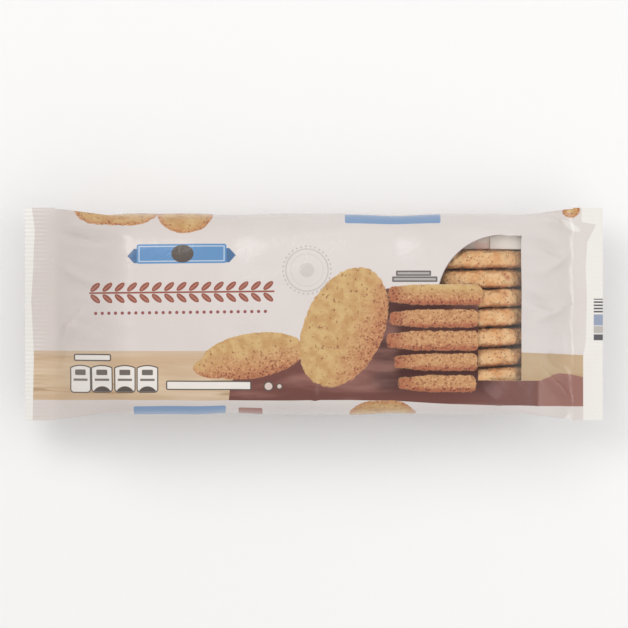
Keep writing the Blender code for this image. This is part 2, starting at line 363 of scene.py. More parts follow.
def new_group(name: str, inputs: dict[str, str], outputs: dict[str, str]) -> bpy.types.NodeTree:
    """Start a shader node group.

    Args:
        name: The group's name.
        inputs: Input names and socket kinds.
        outputs: Output names and socket kinds.

    Returns:
        The group, with its input and output nodes.
    """
    group = bpy.data.node_groups.new(name, "ShaderNodeTree")
    for direction, sockets in (("INPUT", inputs), ("OUTPUT", outputs)):
        for label, kind in sockets.items():
            group.interface.new_socket(name=label, in_out=direction, socket_type=kind)
    group.nodes.new("NodeGroupInput")
    group.nodes.new("NodeGroupOutput")
    return group


def use_group(
    tree: bpy.types.NodeTree, group: bpy.types.NodeTree, values: dict[str, object]
) -> dict[str, Signal]:
    """Place a node group in a tree.

    Args:
        tree: The tree that gets the group.
        group: The group.
        values: A signal or plain value for each input.

    Returns:
        The group's outputs by name.
    """
    node = tree.nodes.new("ShaderNodeGroup")
    node.node_tree = group
    for label, value in values.items():
        plug(tree, value, node.inputs[label])
    return {socket.name: Signal(tree, socket) for socket in node.outputs}


@dataclass(frozen=True)
class OatCrumb:
    """Crumbly baked surface: pits, flakes and uneven browning, as a node group."""

    name: str = "oat crumb"
    grain_size: float = 1.25
    pit_size: float = 1.35
    flake_size: float = 2.3
    tone_size: float = 5.5

    def make(self) -> bpy.types.NodeTree:
        """Build the group. Its Place is in mm.

        Returns:
            A group with the outputs Grain, Pits, Flakes and Tone, each from 0 to 1.
        """
        group = bpy.data.node_groups.get(self.name)
        if group is not None:
            return group
        outputs = {name: "NodeSocketFloat" for name in ("Grain", "Pits", "Flakes", "Tone")}
        group = new_group(self.name, {"Place": "NodeSocketVector"}, outputs)
        place = group.nodes["Group Input"].outputs["Place"]
        results = group.nodes["Group Output"].inputs
        fine = self._texture(group, "ShaderNodeTexNoise", place, self.grain_size, "Fac")
        pits = self._texture(group, "ShaderNodeTexVoronoi", place, self.pit_size, "Distance")
        pits = pits.ramp(0.46, 0.28) * fine.ramp(0.62, 0.46)
        flakes = self._texture(group, "ShaderNodeTexVoronoi", place, self.flake_size, "Distance")
        tone = self._texture(group, "ShaderNodeTexNoise", place, self.tone_size, "Fac")
        group.links.new(fine.socket, results["Grain"])
        group.links.new(pits.socket, results["Pits"])
        group.links.new(flakes.ramp(0.62, 0.22).socket, results["Flakes"])
        group.links.new(tone.ramp(0.36, 0.66).socket, results["Tone"])
        return group

    def _texture(
        self,
        group: bpy.types.NodeTree,
        kind: str,
        place: bpy.types.NodeSocket,
        size: float,
        output: str,
    ) -> Signal:
        """Add a texture whose features have a size in mm.

        Args:
            group: The group to add to.
            kind: The texture node's kind.
            place: The socket that gives the place.
            size: The features' size.
            output: The name of the texture's output.

        Returns:
            That output.
        """
        node = group.nodes.new(kind)
        group.links.new(place, node.inputs["Vector"])
        node.inputs["Scale"].default_value = 1 / size
        node.inputs["Detail"].default_value = 2.0 if output == "Fac" else 0.0
        return Signal(group, node.outputs[output])


@dataclass(frozen=True)
class FilmCrinkle:
    """Fine crinkles of thin packing film, as a node group that gives a height."""

    name: str = "film crinkle"
    wave_size: float = 26.0
    crease_size: float = 9.0
    crease_share: float = 0.12

    def make(self) -> bpy.types.NodeTree:
        """Build the group. Its Place is in mm.

        Returns:
            A group with the output Height, from 0 to 1.
        """
        group = bpy.data.node_groups.get(self.name)
        if group is not None:
            return group
        outputs = {"Height": "NodeSocketFloat"}
        group = new_group(self.name, {"Place": "NodeSocketVector"}, outputs)
        place = group.nodes["Group Input"].outputs["Place"]
        heights = []
        for size, distortion in ((self.wave_size, 0.6), (self.crease_size, 1.2)):
            node = group.nodes.new("ShaderNodeTexNoise")
            group.links.new(place, node.inputs["Vector"])
            node.inputs["Scale"].default_value = 1 / size
            node.inputs["Detail"].default_value = 1.0
            node.inputs["Distortion"].default_value = distortion
            heights.append(Signal(group, node.outputs["Fac"]))
        crease = abs(heights[1] - 0.5).ramp(0.0, 0.16)
        height = heights[0] * (1 - self.crease_share) + crease * self.crease_share
        group.links.new(height.socket, group.nodes["Group Output"].inputs["Height"])
        return group


def new_material(name: str) -> tuple[bpy.types.Material, bpy.types.ShaderNode]:
    """A material with its Principled shader.

    Args:
        name: The material's name.

    Returns:
        The material and the shader node.
    """
    material = bpy.data.materials.new(name)
    material.use_nodes = True
    return material, material.node_tree.nodes["Principled BSDF"]


def map_place(tree: bpy.types.NodeTree) -> tuple[Signal, Signal, Signal]:
    """The place on the print's own map.

    Args:
        tree: The material's tree.

    Returns:
        The place as a vector, u and v, in mm.
    """
    node = tree.nodes.new("ShaderNodeUVMap")
    node.uv_map = PRINT_MAP
    parts = tree.nodes.new("ShaderNodeSeparateXYZ")
    tree.links.new(node.outputs["UV"], parts.inputs[0])
    vector = Signal(tree, node.outputs["UV"])
    return vector, Signal(tree, parts.outputs[0]), Signal(tree, parts.outputs[1])


def bump(tree: bpy.types.NodeTree, height: Signal, distance: float, strength: float) -> Signal:
    """Turn a height into a normal.

    Args:
        tree: The material's tree.
        height: The height, from 0 to 1.
        distance: The depth that 1 stands for, in mm.
        strength: The share of it that shows.

    Returns:
        The normal.
    """
    node = tree.nodes.new("ShaderNodeBump")
    node.inputs["Distance"].default_value = distance * MM
    node.inputs["Strength"].default_value = strength
    plug(tree, height, node.inputs["Height"])
    return Signal(tree, node.outputs["Normal"])


@dataclass(frozen=True)
class WindowOutline:
    """The window on the print's map, in mm: an arc, straight sides and the stack's edge."""

    centre: Pair = (88.4, 6.4)
    radius: float = 30.55
    top: float = 36.9
    right: float = 97.3
    bottom: float = -31.2
    stack_right: float = 76.8
    stack_top: float = 13.9
    top_bar_right: float = 79.4
    top_bar_bottom: float = 4.0
    top_bar_rounding: float = 4.6
    notches_left: float = 40.0


@dataclass(frozen=True)
class TrayWell:
    """The half drum under the window, in mm, which holds the cookies."""

    x: float = 75.0
    z: float = 33.0
    radius: float = 30.4


@dataclass(frozen=True)
class RoundCookie:
    """A round cookie of the printed picture. Places in mm on the print's map.

    Its shade is how dark its underside gets, and its crumb starts at crumb_from,
    from -1 at its lower side to 1 at its upper one.
    """

    centre: Pair
    half: Pair
    turn_deg: float
    shade: float
    crumb_from: float


@dataclass(frozen=True)
class CookieBar:
    """A printed cookie with flat sides: one of the stack, or one at the pack's edge."""

    centre: Pair
    half: Pair
    crumbly: float = 0.85


@dataclass
class CookieLayer:
    """The printed cookies taken together: where they are, and how dark and crumbly."""

    canvas: Canvas
    cover: Signal | float = 0.0
    shade: Signal | float = 0.0
    crumbly: Signal | float = 0.0

    def add(self, mask: Signal, shade: Signal, crumbly: Signal) -> None:
        """Put one more cookie over the others.

        Args:
            mask: 1 on the cookie.
            shade: How dark it is, from 0 to 1.
            crumbly: How crumbly it is, from 0 to 1.
        """
        self.shade = self.canvas.blend(mask, self.shade, shade)
        self.crumbly = self.canvas.blend(mask, self.crumbly, crumbly)
        self.cover = mask.most(self.cover)


@dataclass(frozen=True)
class PrintedFilm:
    """Satin film with a printed front, sides and back."""

    name: str = "printed_film"
    roughness: float = 0.24
    window: WindowOutline = WindowOutline()
    ground: Colour = paint(219, 211, 207)
    ground_left_shaded: Colour = paint(214, 204, 199)
    painted_light_patch: Colour = paint(226, 219, 217)
    painted_shade_patch: Colour = paint(208, 199, 196)
    bare: Colour = paint(234, 231, 226)
    wood: Colour = paint(201, 172, 140)
    wood_light: Colour = paint(218, 196, 168)
    wood_dark: Colour = paint(176, 143, 108)
    wood_far: Colour = paint(206, 186, 164)
    wood_right: Colour = paint(188, 160, 124)
    cloth: Colour = paint(112, 66, 59)
    cloth_right: Colour = paint(126, 84, 78)
    cloth_dark: Colour = paint(78, 42, 37)
    gap: Colour = paint(60, 16, 9)
    cloth_pale_and_glare: Colour = paint(170, 122, 110)
    crust: Colour = paint(192, 149, 97)
    crust_light: Colour = paint(207, 173, 118)
    crumb: Colour = paint(190, 131, 90)
    crumb_light: Colour = paint(215, 166, 121)
    crumb_dark: Colour = paint(110, 54, 44)
    pit: Colour = paint(148, 92, 62)
    singed: Colour = paint(158, 76, 54)
    ribbon: Colour = paint(98, 142, 188)
    ribbon_dark: Colour = paint(76, 110, 150)
    ribbon_rim: Colour = paint(196, 208, 222)
    garland: Colour = paint(150, 84, 68)
    groove: Colour = paint(196, 150, 130)
    dot: Colour = paint(146, 82, 80)
    outline: Colour = paint(88, 78, 72)
    window_line: Colour = paint(118, 96, 100)
    tab_bar: Colour = paint(110, 100, 94)
    tab_rule: Colour = paint(120, 110, 104)
    disc: Colour = paint(214, 196, 186)
    plate: Colour = paint(176, 170, 167)
    plate_rim: Colour = paint(104, 98, 96)
    seal: Colour = paint(186, 180, 176)
    white: Colour = paint(232, 226, 220)
    eye_blue: Colour = paint(150, 160, 182)
    eye_dark: Colour = paint(92, 90, 96)

    picture_edge: tuple[Pair, ...] = (
        (-140.0, -40.3),
        (-126.0, -40.5),
        (-34.5, -41.5),
        (-6.0, -41.2),
        (17.0, -40.9),
        (40.6, -41.9),
        (64.0, -43.3),
        (87.6, -44.3),
        (101.7, -44.1),
        (116.0, -43.6),
        (140.0, -43.5),
    )
    table_edge: tuple[Pair, ...] = (
        (-140.0, -17.3),
        (90.0, -17.3),
        (95.0, -17.9),
        (127.5, -19.4),
        (140.0, -19.8),
    )
    lying: RoundCookie = RoundCookie((-28.8, -19.6), (24.4, 10.6), 9.0, 0.7, 0.5)
    lying_end: RoundCookie = RoundCookie((-47.5, -25.6), (9.2, 4.6), -4.0, 0.7, 0.4)
    leaning: RoundCookie = RoundCookie((14.1, -6.2), (29.6, 18.6), 66.0, 0.55, 0.15)
    side_cookies: tuple[CookieBar, ...] = (
        CookieBar((-93.7, 56.0), (20.6, 13.4), 0.2),
        CookieBar((-60.5, 52.0), (13.0, 13.6), 0.1),
        CookieBar((32.0, -53.2), (15.5, 11.6), 0.1),
        CookieBar((121.3, 52.0), (4.4, 6.4), 0.1),
    )
    stack_fade: float = 17.0
    stack: tuple[CookieBar, ...] = (
        CookieBar((56.6, 9.1), (22.8, 4.8), 0.0),
        CookieBar((55.6, -2.1), (21.3, 4.15)),
        CookieBar((55.0, -12.5), (22.1, 4.55)),
        CookieBar((56.6, -22.5), (20.0, 3.95)),
        CookieBar((57.1, -32.7), (18.6, 3.95)),
    )
    cloth_edge: tuple[Pair, ...] = (
        (-140.0, -48.0),
        (-40.5, -48.0),
        (-39.6, -36.0),
        (-38.2, -31.0),
        (-33.0, -27.5),
        (-12.0, -21.8),
        (20.0, -18.0),
        (27.0, 4.0),
        (34.0, 12.0),
        (80.0, 12.5),
        (81.0, -31.2),
        (106.0, -31.4),
        (111.0, -29.0),
        (116.0, -27.9),
        (122.0, -28.6),
        (127.5, -29.9),
        (140.0, -29.9),
    )
    bare_left_edge: tuple[Pair, ...] = (
        (-150.0, -133.0),
        (-60.0, -133.0),
        (-20.0, -132.2),
        (6.0, -133.4),
        (20.0, -132.6),
        (40.0, -131.8),
        (52.0, -133.4),
        (150.0, -133.4),
    )
    bare_right_edge: tuple[Pair, ...] = (
        (-150.0, 127.2),
        (-20.0, 127.0),
        (-13.0, 128.3),
        (8.0, 128.8),
        (22.0, 128.2),
        (34.0, 129.0),
        (42.4, 133.2),
        (43.4, 126.2),
        (50.0, 126.4),
        (150.0, 127.2),
    )
    title_u: float = -62.0
    title_slope: float = 0.010
    ribbon_v: float = 28.3
    ribbon_half: Pair = (21.0, 4.6)
    tails_v: float = 27.4
    tails_half: Pair = (25.4, 3.4)
    medallion_centre: Pair = (-61.6, 28.3)
    medallion_half: Pair = (5.2, 4.2)
    garland_v: float = 10.2
    grain_pitch: float = 5.8
    grain_offset: float = 2.7
    garland_half: float = 43.5
    dots_middle: Pair = (-62.5, 0.75)
    dots_half: float = 40.9
    dots_slope: float = 0.012
    first_dot_u: float = -102.5
    dot_pitch: float = 3.19
    dot_radius: float = 0.78
    seal_centre: Pair = (-3.3, 20.6)
    seal_teeth: float = 32.0
    tab_places: tuple[float, ...] = (-109.7, -99.5, -88.6, -78.0)
    label_slope: float = 0.006
    labels: tuple[tuple[Pair, Pair], ...] = (
        ((-103.9, -20.4), (8.9, 1.7)),
        ((-49.3, -33.6), (20.0, 2.3)),
    )
    discs: tuple[tuple[Pair, float], ...] = (((-21.3, -34.0), 2.4), ((-16.2, -34.0), 1.6))
    plates: tuple[tuple[Pair, Pair], ...] = (
        ((46.6, 19.1), (8.2, 1.25)),
        ((47.2, 16.3), (10.6, 1.3)),
    )
    rule_v: float = -107.4
    rule_pitch: float = 3.6
    dash_pitch: float = 1.5

    def make(self) -> bpy.types.Material:
        """Build the material, from the ground up to the labels.

        Returns:
            The material.
        """
        material, shader = new_material(self.name)
        tree = material.node_tree
        vector, u, v = map_place(tree)
        canvas = Canvas(tree, u, v)
        self._ground(canvas)
        self._table(canvas)
        self._cookies(canvas)
        self._ornaments(canvas)
        self._labels(canvas)
        self._window_line(canvas)
        self._sides(canvas)
        self._back(canvas)
        self._ends(canvas)
        plug(tree, canvas.colour, shader.inputs["Base Color"])
        shader.inputs["Roughness"].default_value = self.roughness
        crinkle = use_group(tree, FilmCrinkle().make(), {"Place": vector})
        plug(tree, bump(tree, crinkle["Height"], 0.9, 0.4), shader.inputs["Normal"])
        return material

    def _ground(self, canvas: Canvas) -> None:
        """The pale ground, darker and pinker to the left as painted shade, with soft patches of
        painted light and painted shade.

        Args:
            canvas: The canvas to paint on.
        """
        light_and_shade_noise = canvas.noise(38.0, (1.0, 1.0), 3.0)
        # Darker and pinker to the left: painted shade.
        left = canvas.u.ramp(20.0, -120.0)
        canvas.colour = canvas.mix(left, self.ground, self.ground_left_shaded)
        # Soft patches of painted light and painted shade, both from one noise.
        canvas.lay(light_and_shade_noise.ramp(0.5, 0.75) * 0.4, self.painted_light_patch)
        canvas.lay(light_and_shade_noise.ramp(0.5, 0.3) * 0.35, self.painted_shade_patch)

    def _table(self, canvas: Canvas) -> None:
        """The wooden table and the brown cloth that the printed cookies lie on.

        Args:
            canvas: The canvas to paint on.
        """
        u, v = canvas.u, canvas.v
        below = canvas.inside(v - canvas.curve(u, self.table_edge))
        above = canvas.inside(canvas.curve(u, self.picture_edge) - v)
        streaks = canvas.noise(2.2, (0.06, 1.0), 1.0)
        broad = canvas.noise(9.0, (0.1, 1.0), 2.0)
        plank = canvas.mix(broad.ramp(0.35, 0.65), self.wood, self.wood_light)
        low = v.ramp(-26.0, -31.0)
        plank = canvas.mix(streaks.ramp(0.52, 0.62) * (low * 0.6 + 0.25), plank, self.wood_dark)
        plank = canvas.mix(v.ramp(-21.0, -17.5) * 0.55, plank, self.wood_far)
        plank = canvas.mix(u.ramp(92.0, 96.0) * 0.75, plank, self.wood_right)
        canvas.lay(below * above, plank)
        edge = canvas.curve(u, self.cloth_edge)
        on_cloth = canvas.inside(v - edge) * above
        shadow = canvas.box((56.0, -12.0), (28.0, 24.0), 8.0).ramp(6.0, -5.0)
        folds = canvas.noise(9.0, (0.22, 1.0), 5.0)
        cloth = canvas.mix(u.ramp(62.0, 92.0), self.cloth, self.cloth_right)
        cloth = canvas.mix(shadow, cloth, self.cloth_dark)
        cloth = canvas.mix(folds.ramp(0.5, 0.72) * 0.5, cloth, self.cloth_pale_and_glare)
        # Painted glare: the cloth is made paler right of the film's fold near u 105.
        cloth = canvas.mix(u.ramp(104.5, 105.6) * 0.6, cloth, self.cloth_pale_and_glare)
        between = canvas.box((58.0, -12.0), (19.0, 17.0), 3.0).ramp(3.0, -3.0)
        cloth = canvas.mix(between * 0.85, cloth, self.gap)
        canvas.lay(on_cloth, cloth)

    def _cookies(self, canvas: Canvas) -> None:
        """The printed cookies: one tone for all, masked by each outline.

        Args:
            canvas: The canvas to paint on.
        """
        ragged = canvas.noise(2.0, (1.0, 1.0), 7.0) - 0.5
        layer = CookieLayer(canvas)
        for bar in self.stack:
            left_end = bar.centre[0] - bar.half[0]
            left = canvas.u.ramp(left_end + self.stack_fade, left_end)
            distance = canvas.box(bar.centre, bar.half, min(bar.half) * 0.62)
            mask = canvas.inside(distance + ragged * 1.6 + left * 1.3, 0.3)
            height = (canvas.v - bar.centre[1]) * (1 / bar.half[1]) + ragged * 0.9
            shade = height.ramp(0.1, -1.1).most(left * (ragged * 0.8 + 0.9))
            layer.add(mask, shade, height.ramp(0.7, -0.4).most(bar.crumbly))
        for cookie in (self.lying_end, self.lying, self.leaning):
            reach, height = canvas.oval(cookie.centre, cookie.half, cookie.turn_deg)
            mask = (reach + ragged * 0.09).ramp(1.01, 0.985)
            low = height + ragged * 0.8
            crumbly = low.ramp(cookie.crumb_from, cookie.crumb_from - 1.1)
            layer.add(mask, low.ramp(0.1, -1.1) * cookie.shade, crumbly)
        for bar in self.side_cookies:
            distance = canvas.box(bar.centre, bar.half, min(bar.half) * 0.92) + ragged * 1.6
            crumbly = distance.ramp(-4.0, 0.0).most(bar.crumbly)
            layer.add(canvas.inside(distance, 0.3), distance.ramp(-3.0, 0.5) * 0.4, crumbly)
        canvas.lay(layer.cover, self._baked_tone(canvas, layer))

    def _baked_tone(self, canvas: Canvas, layer: CookieLayer) -> Signal:
        """The printed cookies' colour: crust, crumb, pits and singed undersides.

        Args:
            canvas: The canvas to paint on.
            layer: The printed cookies, taken together.

        Returns:
            The colour.
        """
        crumb = use_group(canvas.tree, OatCrumb().make(), {"Place": canvas.place((1.0, 1.0), 0.0)})
        pits = crumb["Pits"]
        holes = canvas.noise(1.7, (1.0, 0.7), 17.0).ramp(0.39, 0.33)
        tone = canvas.mix(crumb["Tone"], self.crust_light, self.crust)
        tone = canvas.mix(layer.crumbly * 0.75, tone, self.crumb)
        tone = canvas.mix(crumb["Grain"].ramp(0.52, 0.64) * layer.crumbly, tone, self.crumb_light)
        tone = canvas.mix(pits * (layer.crumbly * 0.75 + 0.12), tone, self.pit)
        tone = canvas.mix(layer.shade.ramp(0.1, 1.0) * 0.75, tone, self.singed)
        tone = canvas.mix(pits * layer.shade.ramp(0.25, 0.8) * 0.85, tone, self.crumb_dark)
        return canvas.mix(holes * 0.8, tone, self.pit)

    def _ornaments(self, canvas: Canvas) -> None:
        """A bare ribbon, a garland of oat grains, a dotted line and a ring seal.

        Args:
            canvas: The canvas to paint on.
        """
        slope = canvas.v - (canvas.u - self.title_u) * self.title_slope
        self._ribbon(canvas, slope)
        self._garland(canvas, slope)
        self._dotted_line(canvas)
        self._seal(canvas)

    def _ribbon(self, canvas: Canvas, slope: Signal) -> None:
        """A bare ribbon with notched tails and a medallion.

        Args:
            canvas: The canvas to paint on.
            slope: v, corrected for the title's slope.
        """
        ribbon = Canvas(canvas.tree, canvas.u, slope)
        body = ribbon.box((self.title_u, self.ribbon_v), self.ribbon_half, 1.0)
        tails = ribbon.box((self.title_u, self.tails_v), self.tails_half)
        notch = abs(slope - self.tails_v) * -0.9 + self.tails_half[0] - abs(canvas.u - self.title_u)
        canvas.lay(canvas.inside(tails) * notch.ramp(-0.2, 0.2), self.ribbon_dark)
        canvas.fill(body, self.ribbon)
        canvas.fill(abs(body + 1.1) - 0.22, self.ribbon_rim)
        medallion, _ = ribbon.oval(self.medallion_centre, self.medallion_half, 0.0)
        canvas.lay(medallion.ramp(1.03, 0.97), self.outline)

    def _garland(self, canvas: Canvas, slope: Signal) -> None:
        """A row of oat grains on a stem, in the title's place.

        Args:
            canvas: The canvas to paint on.
            slope: v, corrected for the title's slope.
        """
        past_middle = canvas.u - self.title_u
        row = canvas.inside(abs(past_middle) - self.garland_half)
        along = canvas.repeat(past_middle, self.grain_pitch)
        for side in (-1, 1):
            up = slope - (self.garland_v + self.grain_offset * side)
            long_way = along * 0.76 + up * (0.65 * side)
            short_way = up * 0.76 - along * (0.65 * side)
            grain = long_way * long_way * (1 / 8.6) + short_way * short_way * (1 / 1.7)
            canvas.lay(grain.ramp(1.05, 0.9) * row, self.garland)
            groove = canvas.inside(abs(short_way) - 0.12) * grain.ramp(0.6, 0.4) * row
            canvas.lay(groove, self.groove)
        canvas.lay(canvas.inside(abs(slope - self.garland_v) - 0.42) * row, self.garland)

    def _dotted_line(self, canvas: Canvas) -> None:
        """A row of dots under the garland.

        Args:
            canvas: The canvas to paint on.
        """
        past_middle = canvas.u - self.dots_middle[0]
        row = canvas.inside(abs(past_middle) - self.dots_half)
        along = canvas.repeat(canvas.u - self.first_dot_u, self.dot_pitch)
        height = canvas.v - self.dots_middle[1] - past_middle * self.dots_slope
        dot = (along * along + height * height).compute("SQRT") - self.dot_radius
        canvas.lay(canvas.inside(dot) * row, self.dot)

    def _seal(self, canvas: Canvas) -> None:
        """A ring seal with a toothed rim and a plain middle.

        Args:
            canvas: The canvas to paint on.
        """
        ring = canvas.circle(self.seal_centre)
        canvas.fill(abs(ring - 9.9) - 0.28, self.seal, 0.8)
        across, up = canvas.u - self.seal_centre[0], canvas.v - self.seal_centre[1]
        teeth = (up.compute("ARCTAN2", across) * self.seal_teeth).compute("SINE").ramp(0.0, 0.4)
        canvas.lay(canvas.inside(abs(ring - 11.2) - 0.4) * teeth * 0.8, self.seal)
        inner = canvas.inside(abs(ring - 7.6) - 0.16).most(canvas.inside(ring - 3.4))
        canvas.lay(inner * 0.45, self.seal)

    def _labels(self, canvas: Canvas) -> None:
        """Tabs and small labels, with plain bars where lettering would be.

        Args:
            canvas: The canvas to paint on.
        """
        for number, centre_u in enumerate(self.tab_places):
            self._tab(canvas, centre_u, has_foot=number > 0)
        for centre, half in self.labels:
            slope = canvas.v + (canvas.u - centre[0]) * self.label_slope
            shape = Canvas(canvas.tree, canvas.u, slope).box(centre, half, 0.9)
            canvas.frame(shape, self.outline, self.white, 0.6)
        for centre, radius in self.discs:
            canvas.frame(canvas.circle(centre) - radius, self.outline, self.disc, 0.6)
        for centre, half in self.plates:
            canvas.frame(canvas.box(centre, half, 0.4), self.plate_rim, self.plate, 0.75)

    def _tab(self, canvas: Canvas, centre_u: float, has_foot: bool) -> None:
        """An arched tab with a bar and a rule, and a dark foot where it has one.

        Args:
            canvas: The canvas to paint on.
            centre_u: The place of its middle along the pack.
            has_foot: Whether it has a foot.
        """
        tab = canvas.box((centre_u, -30.5), (5.1, 6.7), 2.0)
        shape = tab.most(canvas.circle((centre_u, -36.0)) - 12.1)
        canvas.frame(shape, self.outline, self.white, 0.55)
        if has_foot:
            foot = canvas.circle((centre_u, -38.6)) - 4.6
            canvas.fill(foot.most(shape + 0.55), self.outline)
        canvas.fill(canvas.box((centre_u, -27.4), (2.6, 1.3), 0.5), self.tab_bar)
        canvas.fill(canvas.box((centre_u, -30.9), (3.4, 0.55), 0.2), self.tab_rule)

    def _window_line(self, canvas: Canvas) -> None:
        """A thin dark line along the window's arc.

        Args:
            canvas: The canvas to paint on.
        """
        ring = canvas.circle(self.window.centre) - self.window.radius
        line = canvas.inside(abs(ring - 0.1) - 0.22) * canvas.v.ramp(13.4, 14.0)
        canvas.lay(line * canvas.u.ramp(92.0, 84.0) * 0.8, self.window_line)

    def _sides(self, canvas: Canvas) -> None:
        """Bare ribbons and marks on the pack's two long sides.

        Args:
            canvas: The canvas to paint on.
        """
        blocks = (
            ((36.9, 48.6), (22.4, 4.8), self.ribbon),
            ((-63.0, -50.6), (21.6, 5.8), self.ribbon),
            ((-29.8, -52.0), (5.6, 5.4), self.garland),
        )
        for centre, half, colour in blocks:
            canvas.fill(canvas.box(centre, half, 1.0), colour, 0.85)

    def _back(self, canvas: Canvas) -> None:
        """A plain table of rules and rows of bars on the back.

        Args:
            canvas: The canvas to paint on.
        """
        panel = canvas.box((-56.0, -108.0), (27.0, 18.0), 1.0)
        canvas.fill(abs(panel) - 0.3, self.outline)
        rows = abs(canvas.repeat(canvas.v - self.rule_v, self.rule_pitch))
        rules = canvas.inside(rows - 0.18) * canvas.inside(panel)
        canvas.lay(rules * 0.7, self.outline)
        words = canvas.inside(canvas.box((28.0, -108.0), (48.0, 18.0)))
        broken = canvas.noise(2.4, (1.0, 0.02), 31.0).ramp(0.4, 0.44)
        canvas.lay(canvas.inside(rows - 0.62) * words * broken * 0.65, self.outline)

    def _ends(self, canvas: Canvas) -> None:
        """The bare film at both ends, a painted highlight in its colour on the tucked corner's fold,
        and the printer's eye mark.

        Args:
            canvas: The canvas to paint on.
        """
        u, v = canvas.u, canvas.v
        left = canvas.curve(v, self.bare_left_edge)
        right = canvas.curve(v, self.bare_right_edge)
        canvas.lay(canvas.inside(u - left).most(canvas.inside(right - u)), self.bare)
        # A painted highlight on the fold of the tucked top right corner, laid in the bare film's
        # colour.
        fold_highlight, _ = canvas.oval((120.6, 41.7), (5.8, 1.7), -28.0)
        canvas.lay(fold_highlight.ramp(1.1, 0.8) * 0.8, self.bare)
        dashed = canvas.inside(canvas.box((134.2, 3.6), (2.2, 3.6)))
        dashes = canvas.repeat(v - self.dash_pitch / 2, self.dash_pitch).ramp(-0.15, 0.05)
        canvas.lay(dashed * dashes, self.eye_dark)
        blocks = (
            ((134.2, -2.8), (2.2, 2.6), self.eye_blue),
            ((134.2, -7.4), (2.2, 1.7), self.seal),
            ((134.2, -11.0), (2.2, 1.4), self.eye_dark),
        )
        for centre, half, colour in blocks:
            canvas.fill(canvas.box(centre, half), colour)


@dataclass(frozen=True)
class ClearFilm:
    """Glossy clear film: see-through, with a highlight that grows at its edge."""

    name: str = "clear_film"
    colour: Colour = paint(246, 242, 236)
    roughness: float = 0.14
    crinkle_depth: float = 0.9
    edge_width: float = 0.25
    edge_shine: float = 0.2
    face_shine: float = 0.013

    def make(self) -> bpy.types.Material:
        """Build the material from a clear and a glossy shader.

        Returns:
            The material.
        """
        material, shader = new_material(self.name)
        tree = material.node_tree
        shader.inputs["Base Color"].default_value = self.colour
        shader.inputs["Roughness"].default_value = self.roughness
        vector, _, _ = map_place(tree)
        crinkle = use_group(tree, FilmCrinkle().make(), {"Place": vector})
        normal = bump(tree, crinkle["Height"], self.crinkle_depth, 0.5)
        plug(tree, normal, shader.inputs["Normal"])
        clear = tree.nodes.new("ShaderNodeBsdfTransparent")
        facing = tree.nodes.new("ShaderNodeLayerWeight")
        facing.inputs["Blend"].default_value = self.edge_width
        share = Signal(tree, facing.outputs["Facing"]) * self.edge_shine + self.face_shine
        paths = tree.nodes.new("ShaderNodeLightPath")
        passing = Signal(tree, paths.outputs["Is Shadow Ray"])
        passing = passing.most(Signal(tree, paths.outputs["Is Diffuse Ray"]))
        share = share * (passing * -1.0 + 1.0)
        mixer = tree.nodes.new("ShaderNodeMixShader")
        plug(tree, share, mixer.inputs[0])
        tree.links.new(clear.outputs[0], mixer.inputs[1])
        tree.links.new(shader.outputs[0], mixer.inputs[2])
        tree.links.new(mixer.outputs[0], tree.nodes["Material Output"].inputs["Surface"])
        return material


@dataclass(frozen=True)
class TrayPlastic:
    """Thin cream plastic, formed over a mould."""

    name: str = "tray_plastic"
    colour: Colour = paint(255, 249, 240)
    ledge_shade: Colour = paint(253, 240, 226)
    pink_reflection: Colour = paint(255, 222, 210)
    roughness: float = 0.4
    ledge_end_x: float = 82.2
    ledge_top_z: float = 51.9
    pink_middle: Pair = (78.7, 31.6)
    pink_half: Pair = (3.5, 1.9)

    def make(self) -> bpy.types.Material:
        """Build the material, with painted shade on its ledge and a painted pink reflection of the
        print's edge on part of it.

        Returns:
            The material.
        """
        material, shader = new_material(self.name)
        tree = material.node_tree
        node = tree.nodes.new("ShaderNodeTexCoord")
        parts = tree.nodes.new("ShaderNodeSeparateXYZ")
        tree.links.new(node.outputs["Object"], parts.inputs[0])
        across, along, up = (Signal(tree, socket) * (1 / MM) for socket in parts.outputs)
        canvas = Canvas(tree, across, along)
        on_ledge = across.ramp(self.ledge_end_x + 0.1, self.ledge_end_x - 0.1)
        on_ledge = on_ledge * up.ramp(self.ledge_top_z, self.ledge_top_z - 0.4)
        canvas.colour = self.colour
        # Painted shade on the ledge left of the lug.
        canvas.lay(on_ledge, self.ledge_shade)
        # A painted pink reflection of the print's edge, with painted shade, on part of the ledge.
        pink_reflection = canvas.inside(canvas.box(self.pink_middle, self.pink_half))
        canvas.lay(on_ledge * pink_reflection, self.pink_reflection)
        plug(tree, canvas.colour, shader.inputs["Base Color"])
        shader.inputs["Roughness"].default_value = self.roughness
        return material


